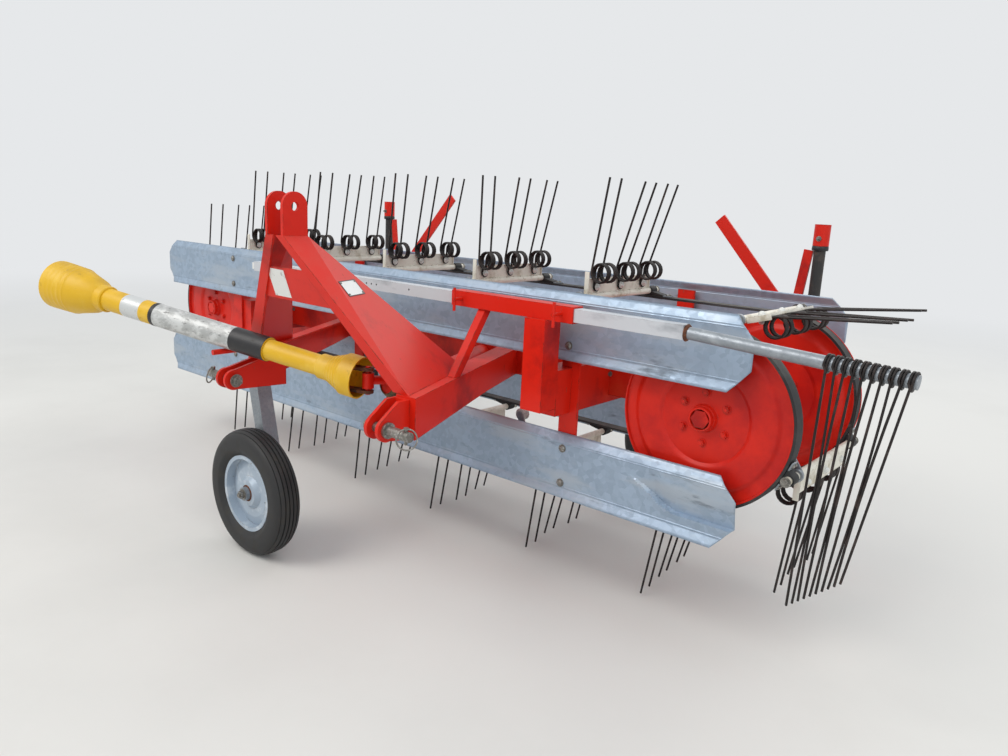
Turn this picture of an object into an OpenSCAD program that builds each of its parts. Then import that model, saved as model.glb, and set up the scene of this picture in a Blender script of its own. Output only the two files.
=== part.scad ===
// Three-point mounted belt hay rake: two endless belts over pressed sheaves carry fourteen bars of
// spring tines between galvanised sheets. Millimetres, +Z up, ground at Z = 0. Inside the modules X runs
// along the belts from the sheets' left end, and Y = 0 is the front sheets' outer face.

/* [Belts and sheaves] */
// Distance between the two sheave axes
sheave_span = 2695; // [2500:5:2900]
// Radius of a sheave's rim, under the belt
sheave_r = 265; // [250:1:275]
// Height of the sheave axes
axis_z = 690; // [685:1:740]
// Width of a belt
belt_w = 45; // [35:1:55]
// Thickness of a belt
belt_t = 8; // [5:0.5:12]
// Front belt's front edge behind the sheets' face
belt_y = 45; // [42:1:55]
// Distance from the front belt to the rear belt
belt_pitch = 510; // [480:1:540]
// Thickness of a sheave's pressed plate
disc_t = 5; // [3:0.5:8]
// Radius of the shaft that carries a sheave
shaft_r = 17; // [14:1:22]

/* [Tine bars] */
// Number of tine bars on the loop
bar_count = 14; // [12:1:14]
// Place of the first bar along the top run, from the left axis
bar_start = 198; // [150:1:240]
// Radius of a bar's rod
rod_r = 12; // [10:0.5:13]
// Distance from a bar's rod to its coils, along the tines
coil_reach = 80; // [75:1:90]
// Distance from a bar's rod to its coils, across the tines
coil_side = 38; // [36:1:42]
// Mean radius of a tine's coil
coil_r = 31; // [29:0.5:32]
// Radius of the tine wire
wire_r = 3.75; // [3:0.25:4.5]
// Length of a tine beyond its coil
tine_len = 308; // [250:1:310]
// Distance between the two wires of one tine
wire_gap = 63; // [60:1:66]

/* [Sheets] */
// Sheet beyond the left sheave axis
sheet_left = 360; // [330:1:400]
// Sheet beyond the right sheave axis
sheet_right = 145; // [100:1:200]
// Height of one sheet
sheet_h = 214; // [190:1:225]
// Thickness of the sheet metal
sheet_t = 3; // [2:0.5:5]
// Distance from the front sheets to the rear sheets, outside
rack_depth = 787; // [770:1:830]
// Upper sheets' lower edge above the sheave axes
upper_rise = 104; // [95:1:115]
// Lower sheets' upper edge below the sheave axes
lower_drop = 144; // [120:1:150]
// Bevel of a sheet's corners
sheet_bevel = 65; // [30:1:75]

/* [Frame] */
// Height and depth of the main beam
beam_s = 100; // [80:1:120]
// Width of a cross arm
arm_w = 80; // [60:1:90]
// Height of a cross arm
arm_h = 150; // [120:1:170]
// Place of the left cross arm's middle
arm_left_x = 676; // [672:1:700]
// Place of the right cross arm's middle
arm_right_x = 2560; // [2500:1:2600]
// Place of the left sheet posts' middle
post_left_x = 617; // [600:1:640]
// Place of the right sheet posts' middle
post_right_x = 2595; // [2580:1:2610]
// Width of a flat sheet post
post_w = 70; // [50:1:80]
// Thickness of a flat sheet post
post_t = 10; // [6:1:12]
// Distance of the rear rail behind the front sheets
rail_y = 1120; // [1110:1:1200]
// Size of the rear rail's square tube
rail_s = 60; // [50:1:70]
// Height of the rear rail's middle
rail_z = 880; // [860:1:900]

/* [Hitch] */
// Middle of the hitch between its two lower pins
hitch_x = 2072; // [2060:1:2085]
// Distance of the hitch pins in front of the sheets
hitch_y = 660; // [655:1:680]
// Height of the lower hitch pins
lower_pin_z = 660; // [650:1:670]
// Distance between the lower pins' shoulders
shoulder_span = 825; // [800:1:840]
// Radius of the lower hitch pins
lower_pin_r = 14.35; // [14:0.05:15]
// Length of a lower hitch pin beyond its shoulder
lower_pin_len = 90; // [70:1:100]
// Height of the top link hole above the lower pins
mast_h = 576; // [560:1:610]
// Radius of the top link hole
top_hole_r = 12.85; // [12.5:0.05:16]
// Distance between the top link ears, inside
ear_gap = 66; // [56:1:80]
// Thickness of a top link ear
ear_t = 12; // [8:1:16]
// Thickness of the mast's folded legs
leg_t = 8; // [6:1:10]
// Width of a draft beam
draft_w = 80; // [60:1:90]
// Height of a draft beam at its front
draft_h = 120; // [100:1:130]

/* [Wheels] */
// Outer radius of a tyre
tyre_r = 228; // [215:1:228]
// Width of a tyre
tyre_w = 100; // [90:1:105]
// Radius of a rim's flange
rim_r = 138; // [130:1:145]
// Radius of a wheel's axle
axle_r = 12; // [10:0.5:15]
// Trail of a castor wheel behind its pivot
trail = 97; // [80:1:110]
// Front castor pivot along the belts
front_pivot_x = 1565; // [1560:1:1580]
// Front castor pivot in front of the sheets
front_pivot_y = 473; // [470:1:480]
// Size of the wheel leg's square tube
leg_s = 55; // [45:1:60]
// Right rear castor's pivot
castor_right_x = 2500; // [2450:1:2540]
// Left rear castor's pivot
castor_left_x = 640; // [600:1:700]

/* [Deflector] */
// Deflector bar in front of the sheets
defl_y = 100; // [98:1:110]
// Height of the deflector bar's middle
defl_z = 957; // [950:1:965]
// Size of the square deflector bar
defl_s = 40; // [30:1:42]
// Left end of the deflector bar
defl_x0 = 986; // [900:1:1100]
// Right end of the square bar
defl_x1 = 3050; // [3000:1:3080]
// Radius of the round end tube
defl_tube_r = 17.5; // [15:0.5:20]
// Length of the round end tube
defl_tube_len = 580; // [560:1:620]
// Number of wires on the deflector
defl_wires = 10; // [6:1:10]
// Length of a deflector wire
defl_wire_len = 640; // [400:1:660]

/* [Drive shaft] */
// Inner joint of the drive shaft, along the belts
joint_x = 2215; // [2200:1:2230]
// Inner joint of the drive shaft, in front of the sheets
joint_y = 505; // [495:1:515]
// Height of the drive shaft's inner joint
joint_z = 728; // [720:1:740]
// Radius of the outer guard tube
guard_r = 39; // [37:1:44]
// Length of the inner half with its cone
inner_len = 377; // [350:1:420]
// Length of the outer half with its cone
outer_len = 945; // [900:1:980]

/* [Hidden] */

paint_red = "#c8201c";
zinc = "#9aa7b5";
black = "#1d1d20";
cream = "#d8d2c2";
yellow = "#d9a514";

$fn = 48;
fit = 0.3;
run_gap = 0.1;

// Driving places worked out from the values above
left_x = sheet_left;
right_x = sheet_left + sheave_span;
sheet_len = sheet_left + sheave_span + sheet_right;
rear_belt_y = belt_y + belt_pitch;
belt_out = sheave_r + fit + belt_t;
loop_r = sheave_r + fit + belt_t / 2;
bar_pitch = (2 * sheave_span + 2 * PI * loop_r) / bar_count;
half_turn = PI * loop_r;
// Thickness of a bar's rubber seat on the belt
seat_t = 6;
rod_out = belt_out + rod_r + seat_t;
beam_y = (belt_y + rear_belt_y + belt_w) / 2 - beam_s / 2 - 25;
origin_x = (defl_x1 + defl_tube_len + 1) / 2;
origin_y = 109;
wheel_z = tyre_r;
sheet_flange = 14;
post_y = sheet_flange + sheet_t + 1;
upper_z = axis_z + upper_rise;
lower_z = axis_z - lower_drop - sheet_h;
// Lower end of the front castor's head tube, and the radius of every castor's stem
head_z = 640;
stem_r = 16;
// Draft beam and arm from the hitch back to the main beam
draft_top = 740;
draft_front = [2466, -580];
draft_rear = [2141, beam_y];
arm_front = [1650, -560];
arm_rear = [1181, beam_y];
// Feet of the mast's legs
right_foot_front = [2466, -578];
right_foot_rear = [2300, -180];
left_foot_front = [1640, -556];
left_foot_rear = [1520, -300];
// Parked drive shaft: its inner joint, its way, and the peg it lies on
joint = [joint_x, -joint_y, joint_z];
shaft_way = [-0.945, -0.296, 0.139] / norm([0.945, 0.296, 0.139]);
rest_r = 9;
rest_gap = 3;
rest_x = left_foot_front[0] + 47;
rest_t = (rest_x - joint_x) / shaft_way[0];
rest_y = -joint_y + rest_t * shaft_way[1];
rest_z = joint_z + rest_t * shaft_way[2] - guard_r / cos(asin(shaft_way[2])) - rest_r - rest_gap;

// Puts a piece from the rack's own corner into the part's frame
module placed() translate([-origin_x, -origin_y, 0]) children();

module rod_y(x, z, r, y0, y1) translate([x, y0, z]) rotate([-90, 0, 0]) cylinder(r = r, h = y1 - y0);
module rod_x(y, z, r, x0, x1) translate([x0, y, z]) rotate([0, 90, 0]) cylinder(r = r, h = x1 - x0);
module rod_z(x, y, r, z0, z1) translate([x, y, z0]) cylinder(r = r, h = z1 - z0);
module box(low, high) translate(low) cube(high - low);

// Turns +Z towards the line from a to b, with the children's foot at a
module along(a, b) {
    d = b - a;
    translate(a) rotate([0, acos(d[2] / norm(d)), atan2(d[1], d[0])]) children();
}
module rod(a, b, r) along(a, b) cylinder(r = r, h = norm(b - a));
module flat_bar(a, b, w, t) along(a, b) translate([-w / 2, -t / 2, 0]) cube([w, t, norm(b - a)]);

// Plate drawn in the Y-Z plane and thick along +X from x
module plate_x(x, t) translate([x, 0, 0]) rotate([90, 0, 90]) linear_extrude(t) children();
// Plate drawn in the X-Z plane and thick along +Y from y
module plate_y(y, t) translate([0, y + t, 0]) rotate([90, 0, 0]) linear_extrude(t) children();

/* Frame */

module main_beam() color(paint_red) placed() {
    half = beam_s / 2;
    housing_r = shaft_r + 28;
    difference() {
        union() {
            box([left_x, beam_y, axis_z - half], [right_x, beam_y + beam_s, axis_z + half]);
            for (x = [left_x, right_x]) {
                y0 = belt_y + belt_w + 12;
                y1 = rear_belt_y - 12;
                rod_y(x, axis_z, housing_r, y0, y1);
                for (y = [y0, y1 - 12]) rod_y(x, axis_z, housing_r + 12, y, y + 12);
            }
        }
        for (x = [left_x, right_x]) rod_y(x, axis_z, shaft_r + fit, 0, rack_depth);
    }
}

// One cross arm through the main beam, from its front end to the rear rail; it rises behind the sheets
module cross_arm(x, front) {
    half = arm_h / 2;
    rise_y = rack_depth - post_y;
    rail_front = rail_y - rail_s / 2;
    difference() {
        union() {
            box([x - arm_w / 2, front, axis_z - half], [x + arm_w / 2, rise_y, axis_z + half]);
            plate_x(x - arm_w / 2, arm_w) polygon([
                [rise_y, axis_z - half], [rise_y, axis_z + half],
                [rail_front, rail_z + rail_s / 2], [rail_front, rail_z - rail_s / 2],
            ]);
        }
        box([left_x, beam_y, axis_z - beam_s / 2], [right_x, beam_y + beam_s, axis_z + beam_s / 2]);
    }
}
module cross_arm_left() color(paint_red) placed() cross_arm(arm_left_x, post_y + post_t);
module cross_arm_right() color(paint_red) placed() cross_arm(arm_right_x, -defl_y + arm_w / 2);

// Right draft beam: a deep tapered box from the hitch foot back to the main beam
module draft_beam_right() color(paint_red) placed() {
    d = draft_rear - draft_front;
    side = [draft_w / 2, 0];
    base = draft_top - draft_h;
    intersection() {
        translate([0, 0, base]) linear_extrude(draft_h)
            polygon([draft_front - side, draft_front + side, draft_rear + side, draft_rear - side]);
        plate_x(draft_rear[0] - 200, draft_front[0] - draft_rear[0] + 400) polygon([
            [draft_front[1], base], [draft_front[1], draft_top], [draft_rear[1], draft_top],
            [draft_rear[1], axis_z - beam_s / 2], [draft_rear[1] - 300, axis_z - beam_s / 2],
        ]);
    }
}

// Left draft arm: an upright plate with a narrow top flange
module draft_arm_left() color(paint_red) placed() difference() {
    web = [6, 0];
    flange = [45, 0];
    pivot = [front_pivot_x, -front_pivot_y, head_z];
    union() {
        intersection() {
            translate([0, 0, 600]) linear_extrude(draft_top - 600)
                polygon([arm_front - web, arm_front + web, arm_rear + web, arm_rear - web]);
            plate_x(arm_rear[0] - 200, arm_front[0] - arm_rear[0] + 400) polygon([
                [arm_front[1], 610], [arm_front[1], draft_top - 8], [arm_rear[1], draft_top - 8],
                [arm_rear[1], 645],
            ]);
        }
        translate([0, 0, draft_top - 8]) linear_extrude(8)
            polygon([arm_front - web, arm_front + flange, arm_rear + flange, arm_rear - web]);
        translate(pivot) cylinder(r = 30, h = 110);
        translate(pivot - [20, 0, 0]) cube([46, 50, 92]);
    }
    translate(pivot) cylinder(r = stem_r + run_gap, h = 111);
    translate(pivot - [0, 0, 100]) cylinder(r = 46, h = 100);
}

/* Mast */

ear_z = lower_pin_z + mast_h;
ear_r = 42;
ear_right_x = hitch_x - ear_gap / 2 + 22;
ear_left_x = ear_right_x - ear_gap - ear_t;
fold_z = ear_z - 84;
// Ear in its own plane, down to the fold
module ear(x) difference() {
    plate_x(x, ear_t) {
        translate([-hitch_y, ear_z]) circle(ear_r);
        translate([-hitch_y - ear_r, fold_z]) square([2 * ear_r, ear_z - fold_z]);
    }
    rod_x(-hitch_y, ear_z, top_hole_r, x - 1, x + ear_t + 1);
}
// Thin slice that a leg's plates are stretched between
strip = 1;
ear_flange = 26;
foot_flange = 55;
// Leg plate from the fold down to a foot line, with a flange down its front edge on side turn
module leg_plate(x, foot_front, foot_rear, turn) {
    inward = max(turn, 0);
    outward = min(turn, 0);
    y = -hitch_y - ear_r;
    hull() {
        box([x, y, fold_z], [x + ear_t, -hitch_y + ear_r, fold_z + strip]);
        translate([0, 0, draft_top]) linear_extrude(strip) polygon([
            foot_front, foot_front + [leg_t, 0], foot_rear + [leg_t, 0], foot_rear,
        ]);
    }
    hull() {
        x1 = x + ear_t + inward * ear_flange;
        box([x + outward * ear_flange, y, fold_z], [x1, y + leg_t, fold_z + strip]);
        translate([foot_front[0], foot_front[1], draft_top])
            translate([outward * foot_flange, 0, 0]) cube([leg_t + foot_flange, leg_t, strip]);
    }
}
module mast_leg_right() color(paint_red) placed() {
    ear(ear_right_x);
    leg_plate(ear_right_x, right_foot_front, right_foot_rear, -1);
}
module mast_leg_left() color(paint_red) placed() {
    ear(ear_left_x);
    leg_plate(ear_left_x, left_foot_front, left_foot_rear, 1);
}
// Peg that the parked drive shaft lies over, cut to the slope of the left leg's front flange
module shaft_rest() color(paint_red) placed() difference() {
    top = [rest_x, -hitch_y - ear_r, fold_z];
    slope = atan((left_foot_front[1] - top[1]) / (fold_z - draft_top));
    rod_y(rest_x, rest_z, rest_r, rest_y - 45, left_foot_front[1]);
    translate(top) rotate([slope, 0, 0]) translate([-50, 0, -500]) cube([100, 100, 600]);
}
// Cross web behind the legs' front flanges
web_low = 955;
web_high = 1055;
function leg_share(z) = (fold_z - z) / (fold_z - draft_top - strip);
function leg_corner(x, y, foot, z) = [x + (foot[0] - x) * leg_share(z), y + (foot[1] - y) * leg_share(z), z];
module mast_web() color(paint_red) placed() difference() {
    y = -hitch_y - ear_r;
    hull() for (z = [web_low, web_high]) {
        left = leg_corner(ear_left_x + ear_t, y, left_foot_front + [leg_t, 0], z);
        right = leg_corner(ear_right_x, y, right_foot_front, z);
        translate(left + [3, leg_t - 2, 0]) cube([1, leg_t + 2, 1]);
        translate(right + [-4, leg_t - 2, 0]) cube([1, leg_t + 2, 1]);
    }
    leg_plate(ear_left_x, left_foot_front, left_foot_rear, 1);
    leg_plate(ear_right_x, right_foot_front, right_foot_rear, -1);
}

/* Hitch feet and pins */

pin_right_x = hitch_x + shoulder_span / 2 - 2;
pin_left_x = hitch_x - shoulder_span / 2 + 2;
foot_t = 12;
foot_gap = 34;
// Two upright plates that hold one lower pin; side is +1 for a pin that points to +X
module hitch_foot(shoulder, side, root_y) {
    for (k = [0, 1]) {
        x = shoulder - side * k * (foot_t + foot_gap) - (side > 0 ? foot_t : 0);
        difference() {
            plate_x(x, foot_t) {
                translate([-hitch_y, lower_pin_z]) circle(34);
                polygon([
                    [-hitch_y - 20, lower_pin_z + 28], [-hitch_y + 10, lower_pin_z - 33],
                    [root_y, lower_pin_z - 42], [root_y, draft_top - 8], [root_y - 40, draft_top - 8],
                ]);
            }
            rod_x(-hitch_y, lower_pin_z, lower_pin_r + fit, x - 1, x + foot_t + 1);
        }
    }
    ends = [shoulder, shoulder - side * (2 * foot_t + foot_gap)];
    box([min(ends) + 1, root_y - foot_t, lower_pin_z - 42], [max(ends) - 1, root_y, draft_top - 8]);
}
module hitch_foot_right() color(paint_red) placed()
    hitch_foot(pin_right_x, 1, draft_front[1] - fit);
module hitch_foot_left() color(paint_red) placed() {
    hitch_foot(pin_left_x, -1, arm_front[1] + 100);
}
module lower_pin(shoulder, side) {
    inner = shoulder - side * (2 * foot_t + foot_gap + 12);
    outer = shoulder + side * lower_pin_len;
    difference() {
        union() {
            rod_x(-hitch_y, lower_pin_z, lower_pin_r, min(inner, outer), max(inner, outer));
            rod_x(-hitch_y, lower_pin_z, lower_pin_r + 8, min(shoulder + side * fit, shoulder + side * 8),
                max(shoulder + side * fit, shoulder + side * 8));
        }
        rod_z(outer - side * 16, -hitch_y, 5.5, lower_pin_z - 40, lower_pin_z + 40);
    }
}
module lower_pin_right() color(zinc) placed() lower_pin(pin_right_x, 1);
module lower_pin_left() color(zinc) placed() lower_pin(pin_left_x, -1);

/* Sheaves, shafts and belts */

// Pressed sheave on an axis along Y: rim, web with two pressed rings, and hub
module sheave(x, y, flange_r) {
    r = sheave_r;
    // Columns: radius, depth of the web's face behind the rim's front edge
    face = [[40, 4], [0.30 * r, 4], [0.36 * r, 12], [0.54 * r, 12], [0.59 * r, 5], [0.78 * r, 5],
        [0.84 * r, 16], [r - disc_t, 16]];
    n = len(face);
    translate([x, y, axis_z]) rotate([-90, 0, 0]) difference() {
        union() {
            rotate_extrude() polygon(concat(
                [for (p = face) p], [for (k = [n - 1:-1:0]) face[k] + [0, disc_t]]
            ));
            rotate_extrude() translate([r - disc_t - 0.5, 0]) square([disc_t + 0.5, belt_w]);
            if (flange_r > r)
                rotate_extrude() translate([r - disc_t, belt_w]) square([flange_r - r + disc_t, disc_t]);
            rotate_extrude() translate([shaft_r + fit, -6]) square([45 - shaft_r, belt_w + 6]);
        }
        for (k = [0:5]) rotate(60 * k + 30) translate([79, 0, -1]) cylinder(r = 6, h = 30);
    }
}
module sheave_front_left() color(paint_red) placed() sheave(left_x, belt_y, 0);
module sheave_front_right() color(paint_red) placed() sheave(right_x, belt_y, 0);
module sheave_rear_left() color(paint_red) placed() sheave(left_x, rear_belt_y, sheave_r + 10);
module sheave_rear_right() color(paint_red) placed() sheave(right_x, rear_belt_y, sheave_r + 10);

module sheave_shafts() color(zinc) placed() for (x = [left_x, right_x]) {
    y0 = belt_y - 22;
    y1 = rear_belt_y + belt_w + 30;
    rod_y(x, axis_z, shaft_r, y0, y1);
    for (y = [y0, y1 - 16]) translate([x, y, axis_z]) rotate([-90, 0, 0])
        cylinder(r = shaft_r + 12, h = 16, $fn = 6);
}

// Straight runs of one belt, over and under the axes
module belt_runs(y) for (z = [axis_z - belt_out, axis_z + belt_out - belt_t])
    translate([left_x, y, z]) cube([sheave_span, belt_w, belt_t]);
// Bends of one belt, half round each sheave
module belt_bends(y) for (end = [[left_x, 0], [right_x, -belt_out - 1]])
    translate([end[0], y + belt_w, axis_z]) rotate([90, 0, 0]) linear_extrude(belt_w) difference() {
        circle(belt_out, $fn = 96);
        circle(belt_out - belt_t, $fn = 96);
        translate([end[1], -belt_out - 1]) square([belt_out + 1, 2 * belt_out + 2]);
    }
module belt_front_runs() color(black) placed() belt_runs(belt_y);
module belt_front_bends() color(black) placed() belt_bends(belt_y);
module belt_rear_runs() color(black) placed() belt_runs(rear_belt_y);
module belt_rear_bends() color(black) placed() belt_bends(rear_belt_y);

/* Tine bars */

// A bar's x, height over the axes, and turn of its seat on the belt, at an arc length from the left axis
function bar_place(s) =
    s < sheave_span ? [left_x + s, rod_out, 0] :
    s < sheave_span + half_turn ? turned_place(right_x, (s - sheave_span) / loop_r * 180 / PI) :
    s < 2 * sheave_span + half_turn ? [right_x - (s - sheave_span - half_turn), -rod_out, 180] :
    turned_place(left_x, 180 + (s - 2 * sheave_span - half_turn) / loop_r * 180 / PI);
function turned_place(x, turn) = [x + rod_out * sin(turn), rod_out * cos(turn), turn];

coil_ys = [195, 345, 495];
rod_y0 = belt_y - 15;
rod_y1 = rear_belt_y + belt_w + 15;

// Section of a closely wound coil: a wall a little thicker than the wire, grooved between its turns
turns = 3;
wire_sink = 0.25;
coil_half = wire_r + wire_sink;
pitch = 2 * wire_r;
coil_w = turns * pitch + 2 * wire_sink;
function coil_section(r) = concat(
    [[r - coil_half, 0]],
    [for (k = [0:turns - 1], q = [[-1.5, 0], [0, 0.25], [0, 0.75], [-1.5, 1]])
        [r + coil_half + q[0], (k + q[1]) * coil_w / turns]],
    [[r - coil_half, coil_w]]
);
plate_t = 7;
plate_x1 = 4;
bolt_up = 36;
// One double tine: a wire from each coil, leaning, and a loop round the bolt. Local +Z is the tines' way
module spring_tine(y, lean) {
    strand_x = coil_side - coil_r;
    strand_y = wire_gap / 2 - (turns - 1) * pitch;
    loop_z = bolt_up - 12;
    for (side = [-1, 1]) {
        outer = y + side * (wire_gap / 2 + wire_r + wire_sink);
        translate([coil_side, min(outer, outer - side * coil_w), coil_reach]) rotate([-90, 0, 0])
            rotate_extrude() polygon(coil_section(coil_r));
        translate([coil_side, y + side * wire_gap / 2, coil_reach]) rotate([0, lean, 0])
            translate([-coil_r, 0, 0]) cylinder(r = wire_r, h = tine_len);
        rod_z(strand_x, y + side * strand_y, wire_r, loop_z - wire_r, coil_reach);
    }
    rod_y(strand_x, loop_z, wire_r - 0.4, y - strand_y, y + strand_y);
    rod_x(y, bolt_up, 10, plate_x1 - 1, plate_x1 + 9);
}
// Follower lever near a bar's front end: its way, clockwise from the tines, its length, its place and
// the width of its hub beside it
lever_turn = 149;
lever_len = 152;
lever_y = belt_y + belt_w + 28;
hub_w = 12;
// A bar's arc length, its tines' way clockwise from up, its rod's place before its seats, and its leans
function bar_row(k) = let(s = bar_start + k * bar_pitch)
    k < 5 ? [s, 0, -coil_side, leans[k]] :
    k == 5 ? [s + 9, 74, 0, leans[k]] :
    k == 6 ? [s, 180, 0, leans[k]] :
    k == bar_count - 1 ? [s, 0, 0, leans[k]] : [s, 180, -coil_side, leans[k]];
leans = [[8, 10, 12], [9, 12, 10], [7, 11, 13], [1, 10, 13], [9, 17, 17], [12, 13, 10], [6, 9, 8],
    [9, 12, 14], [8, 13, 12], [10, 9, 14], [8, 12, 15], [11, 10, 13], [9, 13, 10], [9, 11, 12]];
// Puts children at a bar's rod, +Z along its tines
module at_rod(row) {
    p = bar_place(row[0]);
    translate([p[0] + row[2] * cos(p[2]), 0, axis_z + p[1]]) rotate([0, row[1], 0]) children();
}
module tine_bar(row) {
    at_rod(row) {
        rod_y(0, 0, rod_r, rod_y0, rod_y1);
        for (y = [rod_y0, rod_y1 - 12]) translate([0, y, 0]) rotate([-90, 0, 0])
            cylinder(r = rod_r + 3, h = 12, $fn = 6);
        box([plate_x1 - plate_t, coil_ys[0] - 50, 8], [plate_x1, coil_ys[2] + 50, 60]);
        box([plate_x1 - plate_t, coil_ys[0] - 50, 59], [plate_x1 + 10, coil_ys[0] - 46, 84]);
        for (k = [0:2]) spring_tine(coil_ys[k], row[3][k]);
    }
    // Rubber seat and its clamp plate on each belt
    p = bar_place(row[0]);
    ahead = row[2];
    foot_z = fit - rod_out + belt_out;
    translate([p[0], 0, axis_z + p[1]]) rotate([0, p[2], 0]) for (y = [belt_y, rear_belt_y]) {
        box([min(0, ahead) - 24, y + 2, foot_z], [max(0, ahead) + 24, y + belt_w - 2, rod_r - 2]);
        box([-48, y + 4, foot_z], [48, y + belt_w - 4, foot_z + 5]);
    }
}
module tine_bars_top() color(cream) placed() for (k = [0:4]) tine_bar(bar_row(k));
module tine_bars_right_end() color(cream) placed() for (k = [5:6]) tine_bar(bar_row(k));
module tine_bars_bottom() color(cream) placed() for (k = [7:bar_count - 2]) tine_bar(bar_row(k));
module tine_bar_left_end() color(cream) placed() tine_bar(bar_row(bar_count - 1));
// Levers clamped on the rods, each with a hub and a roller at its end
module follower_levers() color(zinc) placed() for (k = [0:bar_count - 1]) at_rod(bar_row(k))
    rotate([0, lever_turn, 0]) difference() {
        union() {
            box([-12, lever_y, 0], [12, lever_y + 6, lever_len + 12]);
            rod_y(0, 0, rod_r + 8, lever_y - hub_w, lever_y + 6);
            rod_y(0, lever_len, 22, lever_y + 5, lever_y + 34);
        }
        rod_y(0, 0, rod_r + fit, lever_y - hub_w - 2, lever_y + 8);
    }

/* Sheets */

// Section of a front sheet from its lower edge up: lip, flat face, shallow crease and top flange
bolt_heights = [45, sheet_h - 50];
function sheet_line(h) =
    [[-sheet_flange, 0], [0, 26], [0, h * 0.46], [3, h * 0.5], [0, h * 0.54], [0, h - 26], [sheet_flange, h]];
module sheet(y, z, side) {
    line = sheet_line(sheet_h);
    n = len(line);
    b = sheet_bevel;
    intersection() {
        translate([0, y, z]) scale([1, side, 1]) rotate([90, 0, 90]) linear_extrude(sheet_len) polygon(concat(
            [for (p = line) p], [for (k = [n - 1:-1:0]) line[k] + [sheet_t, 0]]
        ));
        plate_y(y - 60, 120) polygon([
            [b * 0.9, z - 1], [0, z + b], [0, z + sheet_h - b], [b * 0.9, z + sheet_h + 1],
            [sheet_len - b * 0.9, z + sheet_h + 1], [sheet_len, z + sheet_h - b], [sheet_len, z + b],
            [sheet_len - b * 0.9, z - 1],
        ]);
    }
}
module sheet_front_upper() color(zinc) placed() sheet(0, upper_z, 1);
module sheet_front_lower() color(zinc) placed() sheet(0, lower_z, 1);
module sheet_rear_upper() color(zinc) placed() sheet(rack_depth, upper_z, -1);
module sheet_rear_lower() color(zinc) placed() sheet(rack_depth, lower_z, -1);

// Flat posts behind the sheets, notched round the cross arms, with a spacer at each sheet bolt
module sheet_posts() color(paint_red) placed() difference() {
    // Columns: post's face, spacer's two ends
    for (x = [post_left_x, post_right_x], p = [
        [post_y, sheet_t, post_y + 1],
        [rack_depth - post_y - post_t, rack_depth - post_y - 1, rack_depth - sheet_t],
    ]) {
        box([x - post_w / 2, p[0], lower_z + 20], [x + post_w / 2, p[0] + post_t, upper_z + sheet_h - 30]);
        for (low = [lower_z, upper_z], h = bolt_heights) rod_y(x, low + h, 13, p[1], p[2]);
    }
    // Columns: arm's middle, front end of its notch
    for (a = [[arm_left_x, post_y + post_t], [arm_right_x, -200]])
        translate([a[0] - arm_w / 2, a[1], axis_z - arm_h / 2]) cube([arm_w, rack_depth + 200, arm_h]);
}

/* Deflector */

sleeve_x0 = 2190;
sleeve_x1 = 2690;
sleeve_wall = 5;
sleeve_in = defl_s / 2 + fit;
sleeve_out = sleeve_in + sleeve_wall;
module deflector_sleeve() color(paint_red) placed() difference() {
    union() {
        translate([sleeve_x0, -defl_y, defl_z]) translate([0, -sleeve_out, -sleeve_out])
            cube([sleeve_x1 - sleeve_x0, 2 * sleeve_out, 2 * sleeve_out]);
        translate([arm_right_x - arm_w / 2, -defl_y - arm_w / 2, axis_z - 50])
            cube([arm_w, arm_w, defl_z - sleeve_out - axis_z + 50]);
        hull() {
            box([2305, -defl_y - 15, defl_z - sleeve_out], [2335, -defl_y + 15, defl_z - sleeve_out + 1]);
            box([2366, -315, draft_top], [2394, -287, draft_top + 1]);
        }
    }
    translate([sleeve_x0 - 1, -defl_y - sleeve_in, defl_z - sleeve_in])
        cube([sleeve_x1 - sleeve_x0 + 2, 2 * sleeve_in, 2 * sleeve_in]);
    for (x = clamp_xs) rod_y(x, defl_z, clamp_r + fit, -defl_y - 60, -defl_y);
}
clamp_xs = [sleeve_x0 + 45, sleeve_x1 - 45];
clamp_r = 6;
module sleeve_clamps() color(zinc) placed() for (x = clamp_xs) {
    rod_y(x, defl_z, clamp_r, -defl_y - sleeve_out - 40, -defl_y - sleeve_in);
    rod_z(x, -defl_y - sleeve_out - 34, 5, defl_z - 38, defl_z + 38);
}
// Round end tube, its root inside the square bar; it leans down slightly to its free end
tube_root = 30;
tube_drop = 34;
tube_a = [defl_x1 - tube_root, -defl_y, defl_z];
tube_b = [defl_x1 + defl_tube_len, -defl_y, defl_z - tube_drop];
module deflector_bar() color(zinc) placed() {
    translate([defl_x0, -defl_y - defl_s / 2, defl_z - defl_s / 2]) cube([defl_x1 - defl_x0, defl_s, defl_s]);
    rod(tube_a, tube_b, defl_tube_r);
}
module deflector_tines() color(black) placed() for (k = [0:defl_wires - 1]) {
    share = 1 - (10 + (defl_wires - 1 - k) * 21) / (defl_tube_len + tube_root);
    p = tube_a + share * (tube_b - tube_a);
    ring = defl_tube_r + fit + coil_half;
    translate(p) along([0, 0, 0], tube_b - tube_a)
        rotate_extrude() translate([ring - coil_half, -coil_half]) square(2 * coil_half);
    top = p - [0, ring, 0];
    rod(top, top + [-8 * k - 20, 10 + 2 * k, 12 * k - defl_wire_len], wire_r);
}

/* Rear rail */

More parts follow.
